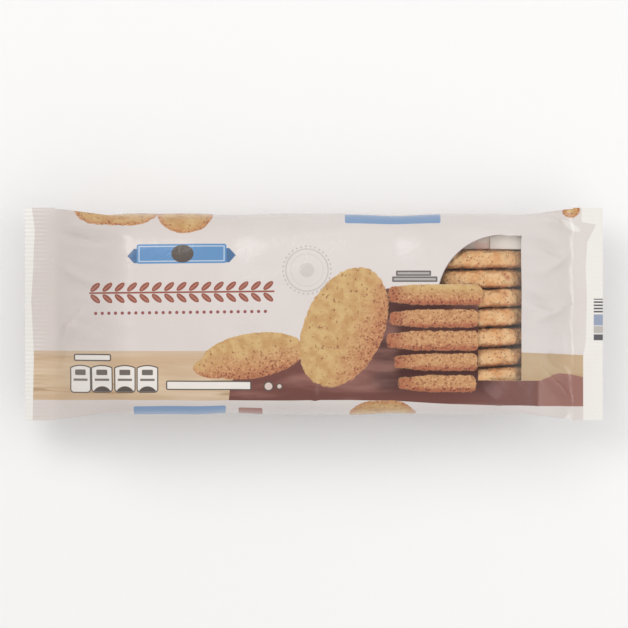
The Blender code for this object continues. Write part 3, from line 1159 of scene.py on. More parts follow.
@dataclass(frozen=True)
class BakedOats:
    """Golden baked crust with toasted edges, pits and oat flakes."""

    name: str = "baked_oats"
    golden: Colour = paint(213, 154, 98)
    pale: Colour = paint(223, 178, 126)
    toasted: Colour = paint(182, 112, 66)
    dark: Colour = paint(112, 62, 40)
    flake: Colour = paint(232, 196, 146)
    roughness: float = 0.62
    patch_size: float = 4.2

    def make(self) -> bpy.types.Material:
        """Build the material from the cookie's place and its browning.

        Returns:
            The material.
        """
        material, shader = new_material(self.name)
        tree = material.node_tree
        coordinates = tree.nodes.new("ShaderNodeTexCoord")
        scaling = tree.nodes.new("ShaderNodeVectorMath")
        scaling.operation = "SCALE"
        scaling.inputs["Scale"].default_value = 1 / MM
        tree.links.new(coordinates.outputs["Object"], scaling.inputs[0])
        place = Signal(tree, scaling.outputs[0])
        crumb = use_group(tree, OatCrumb().make(), {"Place": place})
        attribute = tree.nodes.new("ShaderNodeAttribute")
        attribute.attribute_name = BROWNING
        browning = Signal(tree, attribute.outputs["Fac"])
        canvas = Canvas(tree, browning, browning)
        patches = self._patches(tree, place)
        canvas.colour = canvas.mix(crumb["Tone"], self.pale, self.golden)
        canvas.lay(patches * 0.85, self.toasted)
        canvas.lay(browning.ramp(0.35, 0.95) * 0.85, self.toasted)
        canvas.lay(browning.ramp(0.8, 1.1) * 0.8, self.dark)
        canvas.lay(crumb["Flakes"] * 0.36, self.flake)
        pits = crumb["Pits"] * crumb["Grain"].ramp(0.48, 0.38)
        canvas.lay(pits * 0.7, self.dark)
        plug(tree, canvas.colour, shader.inputs["Base Color"])
        shader.inputs["Roughness"].default_value = self.roughness
        height = crumb["Flakes"] * 0.5 - pits * 0.5 + crumb["Grain"] * 0.5
        plug(tree, bump(tree, height, 0.6, 0.6), shader.inputs["Normal"])
        return material

    def _patches(self, tree: bpy.types.NodeTree, place: Signal) -> Signal:
        """Toasted patches of a few millimetres.

        Args:
            tree: The material's tree.
            place: The place in mm, as a vector.

        Returns:
            1 on a patch, 0 off it.
        """
        node = tree.nodes.new("ShaderNodeTexNoise")
        plug(tree, place, node.inputs["Vector"])
        node.inputs["Scale"].default_value = 1 / self.patch_size
        node.inputs["Detail"].default_value = 4.0
        return Signal(tree, node.outputs["Fac"]).ramp(0.56, 0.72)


def select_only(item: bpy.types.Object) -> None:
    """Deselect everything, then select one object and make it active.

    Args:
        item: The object to select.
    """
    bpy.ops.object.select_all(action="DESELECT")
    item.select_set(True)
    bpy.context.view_layer.objects.active = item


@contextmanager
def editing(item: bpy.types.Object) -> Iterator[None]:
    """Edit one object's mesh, with all of it selected at first.

    Args:
        item: The object to edit.
    """
    select_only(item)
    bpy.ops.object.mode_set(mode="EDIT")
    bpy.ops.mesh.select_all(action="SELECT")
    yield
    bpy.ops.object.mode_set(mode="OBJECT")


def pick(item: bpy.types.Object, kind: str, test: Callable[[object], bool]) -> None:
    """Select the faces or edges that pass a test, in edit mode.

    Args:
        item: The object in edit mode.
        kind: "faces" or "edges".
        test: True for an element to select.
    """
    bpy.ops.mesh.select_all(action="DESELECT")
    bpy.ops.mesh.select_mode(type="FACE" if kind == "faces" else "EDGE")
    mesh = bmesh.from_edit_mesh(item.data)
    for element in getattr(mesh, kind):
        if test(element):
            element.select_set(True)
    mesh.select_flush_mode()
    bmesh.update_edit_mesh(item.data)


def settle(item: bpy.types.Object, name: str) -> bpy.types.Object:
    """Name an object and put its place, turn and size into its mesh.

    Args:
        item: The object.
        name: Its name.

    Returns:
        The same object.
    """
    item.name = name
    item.data.name = name
    select_only(item)
    bpy.ops.object.transform_apply(location=True, rotation=True, scale=True)
    return item


def finish_modifiers(item: bpy.types.Object) -> None:
    """Apply each modifier of an object, in order.

    Args:
        item: The object.
    """
    select_only(item)
    for modifier in list(item.modifiers):
        bpy.ops.object.modifier_apply(modifier=modifier.name)


def cut(item: bpy.types.Object, tool: bpy.types.Object, operation: str) -> None:
    """Cut or join an object with a tool object, and remove the tool.

    Args:
        item: The object that is cut or joined.
        tool: The tool object.
        operation: The Boolean modifier's operation.
    """
    modifier = item.modifiers.new("cut", "BOOLEAN")
    modifier.operation = operation
    modifier.solver = "EXACT"
    modifier.object = tool
    finish_modifiers(item)
    bpy.data.objects.remove(tool, do_unlink=True)


def read_points(item: bpy.types.Object) -> np.ndarray:
    """An object's vertices, one row each.

    Args:
        item: The object.

    Returns:
        The vertices' places.
    """
    points = np.empty(len(item.data.vertices) * 3)
    item.data.vertices.foreach_get("co", points)
    return points.reshape(-1, 3)


def write_points(item: bpy.types.Object, points: np.ndarray) -> None:
    """Move an object's vertices."""
    item.data.vertices.foreach_set("co", points.ravel())
    item.data.update()


def write_map(item: bpy.types.Object, places: np.ndarray) -> None:
    """Give a mesh the print's map.

    Args:
        item: The object.
        places: u and v of each vertex, one row each.
    """
    for layer in list(item.data.uv_layers):
        item.data.uv_layers.remove(layer)
    layer = item.data.uv_layers.new(name=PRINT_MAP)
    corners = np.empty(len(item.data.loops), dtype=int)
    item.data.loops.foreach_get("vertex_index", corners)
    layer.data.foreach_set("uv", places[corners][:, :2].ravel())


def flat_sheet(name: str, low: Pair, high: Pair, cells: tuple[int, int]) -> bpy.types.Object:
    """A flat sheet of small squares at height 0.

    Args:
        name: The object's name.
        low: Its lower corner.
        high: Its upper corner.
        cells: Squares along and across.

    Returns:
        The sheet, in millimetres.
    """
    bpy.ops.object.select_all(action="DESELECT")
    middle = ((low[0] + high[0]) / 2, (low[1] + high[1]) / 2, 0.0)
    bpy.ops.mesh.primitive_grid_add(
        x_subdivisions=cells[0], y_subdivisions=cells[1], size=1.0, location=middle
    )
    sheet = bpy.context.object
    sheet.scale = (high[0] - low[0], high[1] - low[1], 1.0)
    return settle(sheet, name)


def plain_box(name: str, low: Place, high: Place, unit: float = 1.0) -> bpy.types.Object:
    """A box between two corners.

    Args:
        name: The object's name.
        low: Its lower corner.
        high: Its upper corner.
        unit: Length that the corners' 1 stands for.

    Returns:
        The box.
    """
    bpy.ops.object.select_all(action="DESELECT")
    corners = list(zip(low, high))
    middle = [(start + end) / 2 * unit for start, end in corners]
    bpy.ops.mesh.primitive_cube_add(size=1.0, location=middle)
    box = bpy.context.object
    box.scale = [(end - start) * unit for start, end in corners]
    return settle(box, name)


def face_outwards() -> None:
    """Make all faces of the mesh in edit mode point outwards."""
    bpy.ops.mesh.select_all(action="SELECT")
    bpy.ops.mesh.normals_make_consistent(inside=False)


def extrude(step: Place) -> None:
    """Extrude what is selected in edit mode by a step."""
    bpy.ops.mesh.extrude_region_move(TRANSFORM_OT_translate={"value": step})


def thicken(item: bpy.types.Object, depth: float) -> bpy.types.Object:
    """Extrude a flat sheet downwards into a closed slab.

    Args:
        item: The sheet.
        depth: The slab's thickness.

    Returns:
        The same object, now a slab.
    """
    with editing(item):
        extrude((0.0, 0.0, -depth))
        face_outwards()
    return item


def dress(item: bpy.types.Object, material: bpy.types.Material) -> bpy.types.Object:
    """Give a piece its material, let it ride on the pack and shade it smooth.

    Args:
        item: The piece.
        material: Its material.

    Returns:
        The same piece.
    """
    item.data.materials.clear()
    item.data.materials.append(material)
    select_only(item)
    bpy.ops.object.shade_smooth_by_angle(angle=SMOOTH_ANGLE)
    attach(item, "root")
    LOG.info("%s: %d faces", item.name, len(item.data.polygons))
    return item


@dataclass(frozen=True)
class Crease:
    """A ridge or a hollow pressed into the film, on its flat map."""

    start: Pair
    end: Pair
    width: float
    height: float


@dataclass(frozen=True)
class FilmShape:
    """Shape of the wrapped film, as a flat sheet that is folded round the tray.

    u runs along the pack and v round it, from the middle of the front.
    """

    body_half_width: float = 47.4
    back_half_width: float = 46.6
    side_fold_z: float = 32.2
    pack_height: float = 64.4
    front_rounding: float = 4.5
    back_rounding: float = 3.0
    back_flat_half_width: float = 30.0
    section_steps: int = 400
    well_pitch: float = 75.0
    dip_half_length: float = 11.0
    front_dip: float = 1.3
    side_dip: float = 0.7
    shoulder_x: float = 84.0
    fin_root_x: float = 123.0
    end_curve: float = 2.1
    end_ease: float = 1.7
    fin_half_width: float = 50.15
    fin_z: float = 30.5
    fin_layer: float = 0.24
    tuck_layer: float = 0.12
    pleat_depth: float = 0.8
    pleat_pitch: float = 17.0
    pleat_drift: float = 4.0
    channel_half_width: float = 9.0
    channel_slope: float = 0.6
    channel_depth: float = 0.6
    wave_height: float = 0.09
    waves_on_tray: float = 0.45
    waves_at_ends: float = 1.3
    side_fade: float = 12.0
    fin_fade: float = 8.0
    waves: tuple[tuple[float, float, float], ...] = (
        (0.10, 0.021, 0.3),
        (-0.06, 0.09, 1.9),
        (0.17, -0.11, 4.1),
        (0.03, 0.21, 2.6),
        (0.26, 0.07, 0.9),
        (-0.19, 0.16, 5.2),
    )
    creases: tuple[Crease, ...] = (
        Crease((-106.0, 4.0), (-123.0, -18.0), 2.6, 1.7),
        Crease((-114.5, -17.0), (-124.5, -36.0), 2.0, 1.4),
        Crease((-101.0, 14.0), (-124.0, 24.0), 2.2, 1.3),
        Crease((-96.0, 33.0), (-123.0, 38.0), 1.7, -1.3),
        Crease((-104.0, -8.0), (-122.0, -4.0), 2.4, 1.0),
        Crease((106.0, 47.5), (125.0, 37.0), 1.7, 2.2),
        Crease((103.0, 35.0), (118.0, 27.0), 1.9, -1.3),
        Crease((104.0, 18.0), (123.0, 30.0), 2.4, 1.9),
        Crease((112.0, 15.0), (122.0, 5.0), 1.5, 1.1),
        Crease((101.0, -4.0), (122.0, 6.0), 2.6, 1.8),
        Crease((99.0, 9.0), (114.0, 2.0), 1.9, -1.4),
        Crease((104.0, -24.0), (122.0, -42.0), 1.9, 2.0),
        Crease((110.0, -19.0), (123.0, -28.0), 1.9, -1.6),
        Crease((119.0, -6.0), (121.5, -27.0), 1.5, 1.3),
        Crease((115.0, -32.0), (123.0, -45.0), 1.3, 1.3),
        Crease((106.0, -19.0), (105.2, -47.0), 1.2, 0.9),
        Crease((77.0, -33.0), (88.0, -44.0), 1.3, 1.0),
        Crease((84.0, -32.0), (95.0, -43.0), 1.4, -0.6),
        Crease((92.0, -30.0), (97.0, -33.5), 1.2, 0.7),
        Crease((0.0, -33.0), (0.8, -46.0), 1.3, 0.8),
        Crease((-38.0, -45.0), (-36.5, 45.0), 4.0, -0.3),
        Crease((37.5, -45.0), (38.5, 45.0), 4.0, -0.3),
        Crease((-20.0, 38.0), (40.0, 41.0), 2.4, 0.4),
        Crease((60.0, 40.5), (112.0, 37.0), 2.6, 0.6),
        Crease((-118.0, 44.0), (-84.0, 36.0), 2.2, 0.6),
        Crease((-30.0, 14.0), (10.0, 24.0), 3.5, 0.35),
    )

    def _quarter(self, flat: float, height: float, power: float) -> tuple[np.ndarray, ...]:
        """A quarter of the tube's section.

        Args:
            flat: Half the width of its flat part.
            height: Its height.
            power: How square its corner is. 2 makes it an ellipse.

        Returns:
            Girth lengths, and the distances across and up at each.
        """
        angles = np.linspace(math.pi / 2, 0.0, self.section_steps)
        across = flat + (self.body_half_width - flat) * np.cos(angles) ** (2 / power)
        up = height * np.sin(angles) ** (2 / power)
        across = np.insert(across, 0, 0.0)
        up = np.insert(up, 0, height)
        girth = np.concatenate(([0.0], np.cumsum(np.hypot(np.diff(across), np.diff(up)))))
        return girth, across, up

    def half_girth(self) -> float:
        """Length from the middle of the front to the side's fold."""
        front_height = self.pack_height - self.side_fold_z
        return float(self._quarter(0.0, front_height, self.front_rounding)[0][-1])

    def flattening(self, u: np.ndarray) -> np.ndarray:
        """0 over the tray, rising to 1 at the root of a fin."""
        part = (np.abs(u) - self.shoulder_x) / (self.fin_root_x - self.shoulder_x)
        return 1 - (1 - np.clip(part, 0.0, 1.0) ** self.end_curve) ** self.end_ease

    def _dip(self, u: np.ndarray) -> np.ndarray:
        """1 between two wells of the tray, 0 over a well."""
        half = self.well_pitch / 2
        return sum(np.exp(-(((u - place) / self.dip_half_length) ** 2)) for place in (-half, half))

    def surface(self, u: np.ndarray, v: np.ndarray) -> np.ndarray:
        """Where points of the flat sheet lie once it is wrapped.

        Args:
            u: Places along the pack.
            v: Places round it.

        Returns:
            X, Y and Z in millimetres, one row for each point.
        """
        half = self.half_girth()
        front = np.abs(v) <= half
        girth = np.where(front, v, np.sign(v) * 2 * half - v)
        reach = np.abs(girth)
        side = np.where(front, 1.0, -1.0)
        dip = self._dip(u)
        blend = self.flattening(u)
        tube_y, tube_z = self._tube(reach, front, dip)
        tucked = np.clip((reach - self.fin_half_width) / (half - self.fin_half_width), 0.0, 1.0)
        flat_y = np.minimum(reach, 2 * self.fin_half_width - reach)
        layer = np.where(tucked > 0, self.tuck_layer * (1 - tucked), self.fin_layer)
        flat_z = self.fin_z + side * layer
        y = tube_y + (flat_y - tube_y) * blend
        z = self.side_fold_z + side * tube_z
        z = z + (flat_z - z) * blend
        drift = self.pleat_drift * u / self.well_pitch
        pleat = np.sin(2 * math.pi * girth / self.pleat_pitch + drift)
        panel = np.maximum(0.0, 1 - (reach / self.fin_half_width) ** 4)
        sunk = np.abs(pleat * self.pleat_depth * 4 * blend * (1 - blend) * panel)
        channel = np.clip((self.channel_half_width - reach) / self.channel_slope, 0.0, 1.0)
        sunk += np.where(front, 0.0, channel * self.channel_depth * (1 - blend))
        return np.column_stack((u, np.sign(girth) * y, z - side * sunk))

    def _tube(
        self, reach: np.ndarray, front: np.ndarray, dip: np.ndarray
    ) -> tuple[np.ndarray, np.ndarray]:
        """The full tube's section.

        Args:
            reach: Girth lengths from the middle of the front or the back.
            front: Whether each lies on the front.
            dip: How far each lies between two wells of the tray, from 0 to 1.

        Returns:
            Distances across, and up or down from the side fold.
        """
        half = self.half_girth()
        front_height = self.pack_height - self.side_fold_z
        lengths, across, up = self._quarter(0.0, front_height, self.front_rounding)
        front_y, front_z = np.interp(reach, lengths, across), np.interp(reach, lengths, up)
        front_z = front_z * (1 - self.front_dip * dip * (1 - (reach / half) ** 3) / front_height)
        lengths, across, up = self._quarter(
            self.back_flat_half_width, self.side_fold_z, self.back_rounding
        )
        share = reach / half * lengths[-1]
        back_y, back_z = np.interp(share, lengths, across), np.interp(share, lengths, up)
        back_y = back_y - (self.body_half_width - self.back_half_width) * back_z / self.side_fold_z
        y = np.where(front, front_y, back_y)
        y = y - self.side_dip * dip * (y / self.body_half_width) ** 6
        return y, np.where(front, front_z, back_z)

    def relief(self, u: np.ndarray, v: np.ndarray) -> np.ndarray:
        """Soft waves and creases, as heights off the surface.

        Args:
            u: Places along the pack.
            v: Places round it.

        Returns:
            The heights in mm.
        """
        height = self.wave_height * sum(
            np.sin(along * u + around * v + start) for along, around, start in self.waves
        )
        height = height * (self.waves_on_tray + self.waves_at_ends * self.flattening(u))
        for crease in self.creases:
            start, end = np.array(crease.start), np.array(crease.end)
            way = end - start
            share = ((u - start[0]) * way[0] + (v - start[1]) * way[1]) / (way @ way)
            held = np.clip(share, 0.0, 1.0)
            off = np.hypot(u - start[0] - held * way[0], v - start[1] - held * way[1])
            fade = np.sin(math.pi * held) ** 0.6
            height = height + crease.height * fade * np.exp(-((off / crease.width) ** 2))
        on_front = np.clip((self.half_girth() - np.abs(v)) / self.side_fade, 0.0, 1.0)
        calm_fin = np.clip((self.fin_root_x - np.abs(u)) / self.fin_fade, 0.0, 1.0)
        return height * on_front * calm_fin

    def wrap(self, points: np.ndarray) -> np.ndarray:
        """Fold flat points round the pack.

        Args:
            points: u, v and the height off the film, in millimetres.

        Returns:
            Places in metres.
        """
        u, v, lift = points.T
        step = 0.05
        here = self.surface(u, v)
        along = self.surface(u + step, v) - self.surface(u - step, v)
        around = self.surface(u, v + step) - self.surface(u, v - step)
        normal = np.cross(along, around)
        normal /= np.linalg.norm(normal, axis=1)[:, None] + 1e-12
        off = lift + self.relief(u, v)
        return (here + normal * off[:, None]) * MM


@dataclass
class Wrapper:
    """The film tube with its window, clear pane, back seam and crimped fins."""

    shape: FilmShape = field(default_factory=FilmShape)
    film_thickness: float = 0.12
    square: float = 2.2
    fine_half_girth: float = 62.0
    window: WindowOutline = WindowOutline()
    window_sides: int = 160
    pane_low: Pair = (58.0, -36.0)
    pane_high: Pair = (102.0, 43.0)
    pane_depth: float = 0.2
    pane_thickness: float = 0.08
    pane_square: float = 1.1
    seam_left: float = -6.0
    seam_right: float = 6.5
    seam_top: float = 0.1
    seam_thickness: float = 0.34
    seam_inset: float = 1.0
    seam_cells: tuple[int, int] = (330, 8)
    seam_ripple: float = 0.06
    seam_ripple_pitch: float = 2.4
    seam_end_lift: float = 0.3
    fin_inner_x: float = 122.2
    pack_half_length: float = 136.3
    fin_half_thickness: float = 0.32
    fin_cells: int = 14
    crimp_ribs: int = 52
    cells_per_rib: int = 6
    crimp_depth: float = 0.05
    crimp_start: float = 1.0
    crimp_fade: float = 6.0
    edge_wave: float = 0.35
    edge_wave_rate: float = 0.09

    def build(self) -> None:
        """Build and dress every piece of the wrapper."""
        printed = PrintedFilm().make()
        clear = ClearFilm().make()
        tube = dress(self._tube(), printed)
        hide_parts("wrapper")
        dress(self._pane(), clear)
        dress(self._seam(), printed)
        for end in End:
            dress(self._fin(end), printed)

    def _tube(self) -> bpy.types.Object:
        """The film tube: a flat slab with the window cut out, then wrapped.

        Returns:
            The tube, in metres.
        """
        reach = self.shape.fin_root_x
        girth = 2 * self.shape.half_girth()
        cells = (round(2 * reach / self.square), round(2 * girth / self.square))
        tube = flat_sheet("film_tube", (-reach, -girth), (reach, girth), cells)
        with editing(tube):
            pick(tube, "faces", lambda face: abs(face.calc_center_median().y) < self.fine_half_girth)
            bpy.ops.mesh.subdivide(number_cuts=1)
        thicken(tube, self.film_thickness)
        cut(tube, self._window_cutter(), "DIFFERENCE")
        flat = read_points(tube)
        write_map(tube, flat)
        write_points(tube, self.shape.wrap(flat))
        return tube

    def _window_cutter(self) -> bpy.types.Object:
        """The window's outline as a prism: half a disc, squared off and notched.

        Returns:
            The prism, in mm.
        """
        window = self.window
        middle_x, middle_y = window.centre
        bpy.ops.object.select_all(action="DESELECT")
        bpy.ops.mesh.primitive_cylinder_add(
            vertices=self.window_sides,
            radius=window.radius,
            depth=4.0,
            location=(middle_x, middle_y, 0.0),
        )
        cutter = settle(bpy.context.object, "window_cutter")
        with editing(cutter):
            bpy.ops.mesh.bisect(
                plane_co=(middle_x, 0.0, 0.0),
                plane_no=(1.0, 0.0, 0.0),
                use_fill=True,
                clear_outer=True,
            )
        # Each block is deeper than the last one, so that no two of their ends lie in a plane.
        low, high = (middle_x - 1.0, window.bottom), (window.right, window.top)
        cut(cutter, self._block(low, high, 5.0), "UNION")
        low = (window.stack_right, window.bottom)
        cut(cutter, self._block(low, window.centre, 6.0), "UNION")
        low = (window.notches_left, window.bottom - 20.0)
        high = (window.stack_right, window.stack_top - 4.0)
        cut(cutter, self._block(low, high, 8.0), "DIFFERENCE")
        low = (window.notches_left, window.top_bar_bottom)
        high = (window.top_bar_right, window.stack_top)
        cut(cutter, self._block(low, high, 9.0, window.top_bar_rounding), "DIFFERENCE")
        return cutter

    def _block(self, low: Pair, high: Pair, depth: float, rounding: float = 0.0) -> bpy.types.Object:
        """A block between two corners, its upright edges rounded.

        Args:
            low: Its lower corner.
            high: Its upper corner.
            depth: Its height.
            rounding: Radius of its upright edges.

        Returns:
            The block.
        """
        block = plain_box("block", (*low, -depth / 2), (*high, depth / 2))
        if rounding:
            with editing(block):
                pick(block, "edges", lambda edge: abs(edge.verts[0].co.z - edge.verts[1].co.z) > 1)
                bpy.ops.mesh.bevel(offset=rounding, segments=10, affect="EDGES")
        return block

    def _pane(self) -> bpy.types.Object:
        """The clear film under the window's edge.

        Returns:
            The pane, in metres.
        """
        spans = zip(self.pane_low, self.pane_high)
        cells = tuple(round((end - start) / self.pane_square) for start, end in spans)
        pane = flat_sheet("window_pane", self.pane_low, self.pane_high, cells)
        thicken(pane, self.pane_thickness)
        flat = read_points(pane)
        write_map(pane, flat)
        write_points(pane, self.shape.wrap(flat - (0.0, 0.0, self.pane_depth)))
        return pane

    def _on_back(self, across: np.ndarray) -> np.ndarray:
        """Where points of the back lie round the pack, from their places across it."""
        girth = 2 * self.shape.half_girth()
        return np.where(across >= 0, girth - across, -girth - across)

    def _seam(self) -> bpy.types.Object:
        """The folded seam, lying in its channel on the back.

        Returns:
            The seam, in metres.
        """
        reach = self.shape.fin_root_x - self.seam_inset
        low, high = (-reach, self.seam_left), (reach, self.seam_right)
        seam = flat_sheet("back_seam", low, high, self.seam_cells)
        thicken(seam, self.seam_thickness)
        along, across, up = read_points(seam).T
        ripple = self.seam_ripple * (np.sin(along * 2 * math.pi / self.seam_ripple_pitch) - 1)
        blend = self.shape.flattening(along)
        lift = up + (self.shape.channel_depth - self.seam_top) * (1 - blend) + ripple
        wrapped = np.column_stack((along, self._on_back(across), lift + self.seam_end_lift * blend))
        write_map(seam, wrapped)
        write_points(seam, self.shape.wrap(wrapped))
        with editing(seam):
            face_outwards()
        return seam

    def _fin(self, end: End) -> bpy.types.Object:
        """A crimped fin: a thin slab whose ribs run along the pack.

        Args:
            end: The end of the pack that it closes.

        Returns:
            The fin, in metres.
        """
        half_width = self.shape.fin_half_width
        low, high = (self.fin_inner_x, -half_width), (self.pack_half_length, half_width)
        depth = 2 * self.fin_half_thickness
        cells = (self.fin_cells, self.cells_per_rib * self.crimp_ribs)
        fin = flat_sheet(f"fin_{end.name.lower()}", low, high, cells)
        thicken(fin, depth)
        along, across, up = read_points(fin).T
        ripple = np.sin(2 * math.pi * across * self.crimp_ribs / (2 * half_width))
        past_root = along - self.fin_inner_x
        fade = np.clip((past_root - self.crimp_start) / self.crimp_fade, 0.0, 1.0)
        wave = self.edge_wave * np.sin(across * self.edge_wave_rate + 1.0 + end.value)
        outward = past_root / (self.pack_half_length - self.fin_inner_x)
        x = end.value * along
        z = self.shape.fin_z + self.fin_half_thickness + up
        z = z + ripple * self.crimp_depth * fade + wave * outward**2
        around = np.where(up < -0.5 * depth, self._on_back(across), across)
        write_map(fin, np.column_stack((x, around)))
        write_points(fin, np.column_stack((x, across, z)) * MM)
        with editing(fin):
            face_outwards()
        return fin


@dataclass
class Tray:
    """The tray's well under the window, with its flange and its end lug."""

    well: TrayWell = TrayWell()
    wall: float = 0.7
    rim_z: float = 38.0
    rim_half_width: float = 35.0
    rim_stretch: float = 1.012
    far_y: float = 41.6
    near_y: float = -37.8
    end_rounding: float = 3.9
    end_tolerance: float = 0.6
    sides: int = 96
    lip: float = 1.6
    lug_low: Place = (82.4, 30.3, 33.6)
    lug_high: Place = (98.0, 41.2, 52.4)
    lug_rounding: float = 0.6
    ledge_low: Place = (58.0, 30.4, 33.6)
    ledge_high: Place = (83.0, 41.2, 51.4)

    def build(self) -> None:
        """Build and dress the tray."""
        tray = self._drum()
        for low, high in ((self.ledge_low, self.ledge_high), (self.lug_low, self.lug_high)):
            cut(tray, self._lug(low, high), "UNION")
        dress(tray, TrayPlastic().make())
        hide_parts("tray")

    def _drum(self) -> bpy.types.Object:
        """A half drum with rounded ends, opened at the top and given a flange.

        Returns:
            The well, in metres.
        """
        bpy.ops.object.select_all(action="DESELECT")
        middle_y = (self.far_y + self.near_y) / 2
        bpy.ops.mesh.primitive_cylinder_add(
            vertices=self.sides,
            radius=(self.well.radius + self.wall / 2) * MM,
            depth=(self.far_y - self.near_y - self.wall) * MM,
            location=(self.well.x * MM, middle_y * MM, self.well.z * MM),
            rotation=(math.pi / 2, 0.0, 0.0),
        )
        well = settle(bpy.context.object, "tray_well")
        ends = (self.near_y + self.wall, self.far_y - self.wall)
        rim = self.rim_z * MM
        with editing(well):
            pick(well, "edges", lambda edge: self._on_end(edge, ends))
            bpy.ops.mesh.bevel(offset=self.end_rounding * MM, segments=4, affect="EDGES")
            bpy.ops.mesh.select_all(action="SELECT")
            bpy.ops.mesh.bisect(plane_co=(0.0, 0.0, rim), plane_no=(0.0, 0.0, 1.0), clear_outer=True)
            face_outwards()
            pick(well, "edges", lambda edge: edge.is_boundary)
            centre = (self.well.x * MM, middle_y * MM, rim)
            factors = (self.rim_half_width / (self.well.radius + self.wall / 2), self.rim_stretch, 1.0)
            extrude((0.0, 0.0, 0.0))
            bpy.ops.transform.resize(value=factors, center_override=centre)
            extrude((0.0, 0.0, -self.lip * MM))
        wall = well.modifiers.new("wall", "SOLIDIFY")
        wall.thickness = self.wall * MM
        wall.offset = 0.0
        wall.use_even_offset = True
        finish_modifiers(well)
        return well

    def _on_end(self, edge: bmesh.types.BMEdge, ends: Pair) -> bool:
        """Whether an edge runs round one of the drum's two ends."""
        ys = [vert.co.y / MM for vert in edge.verts]
        return any(all(abs(y - end) < self.end_tolerance for y in ys) for end in ends)

    def _lug(self, low: Place, high: Place) -> bpy.types.Object:
        """A raised block at the far end of the well, between two corners.

        Args:
            low: Its lower corner, in mm.
            high: Its upper corner, in mm.

        Returns:
            The block, in metres.
        """
        lug = plain_box("tray_lug", low, high, MM)
        with editing(lug):
            bpy.ops.mesh.bevel(offset=self.lug_rounding * MM, segments=4, affect="EDGES")
        return lug


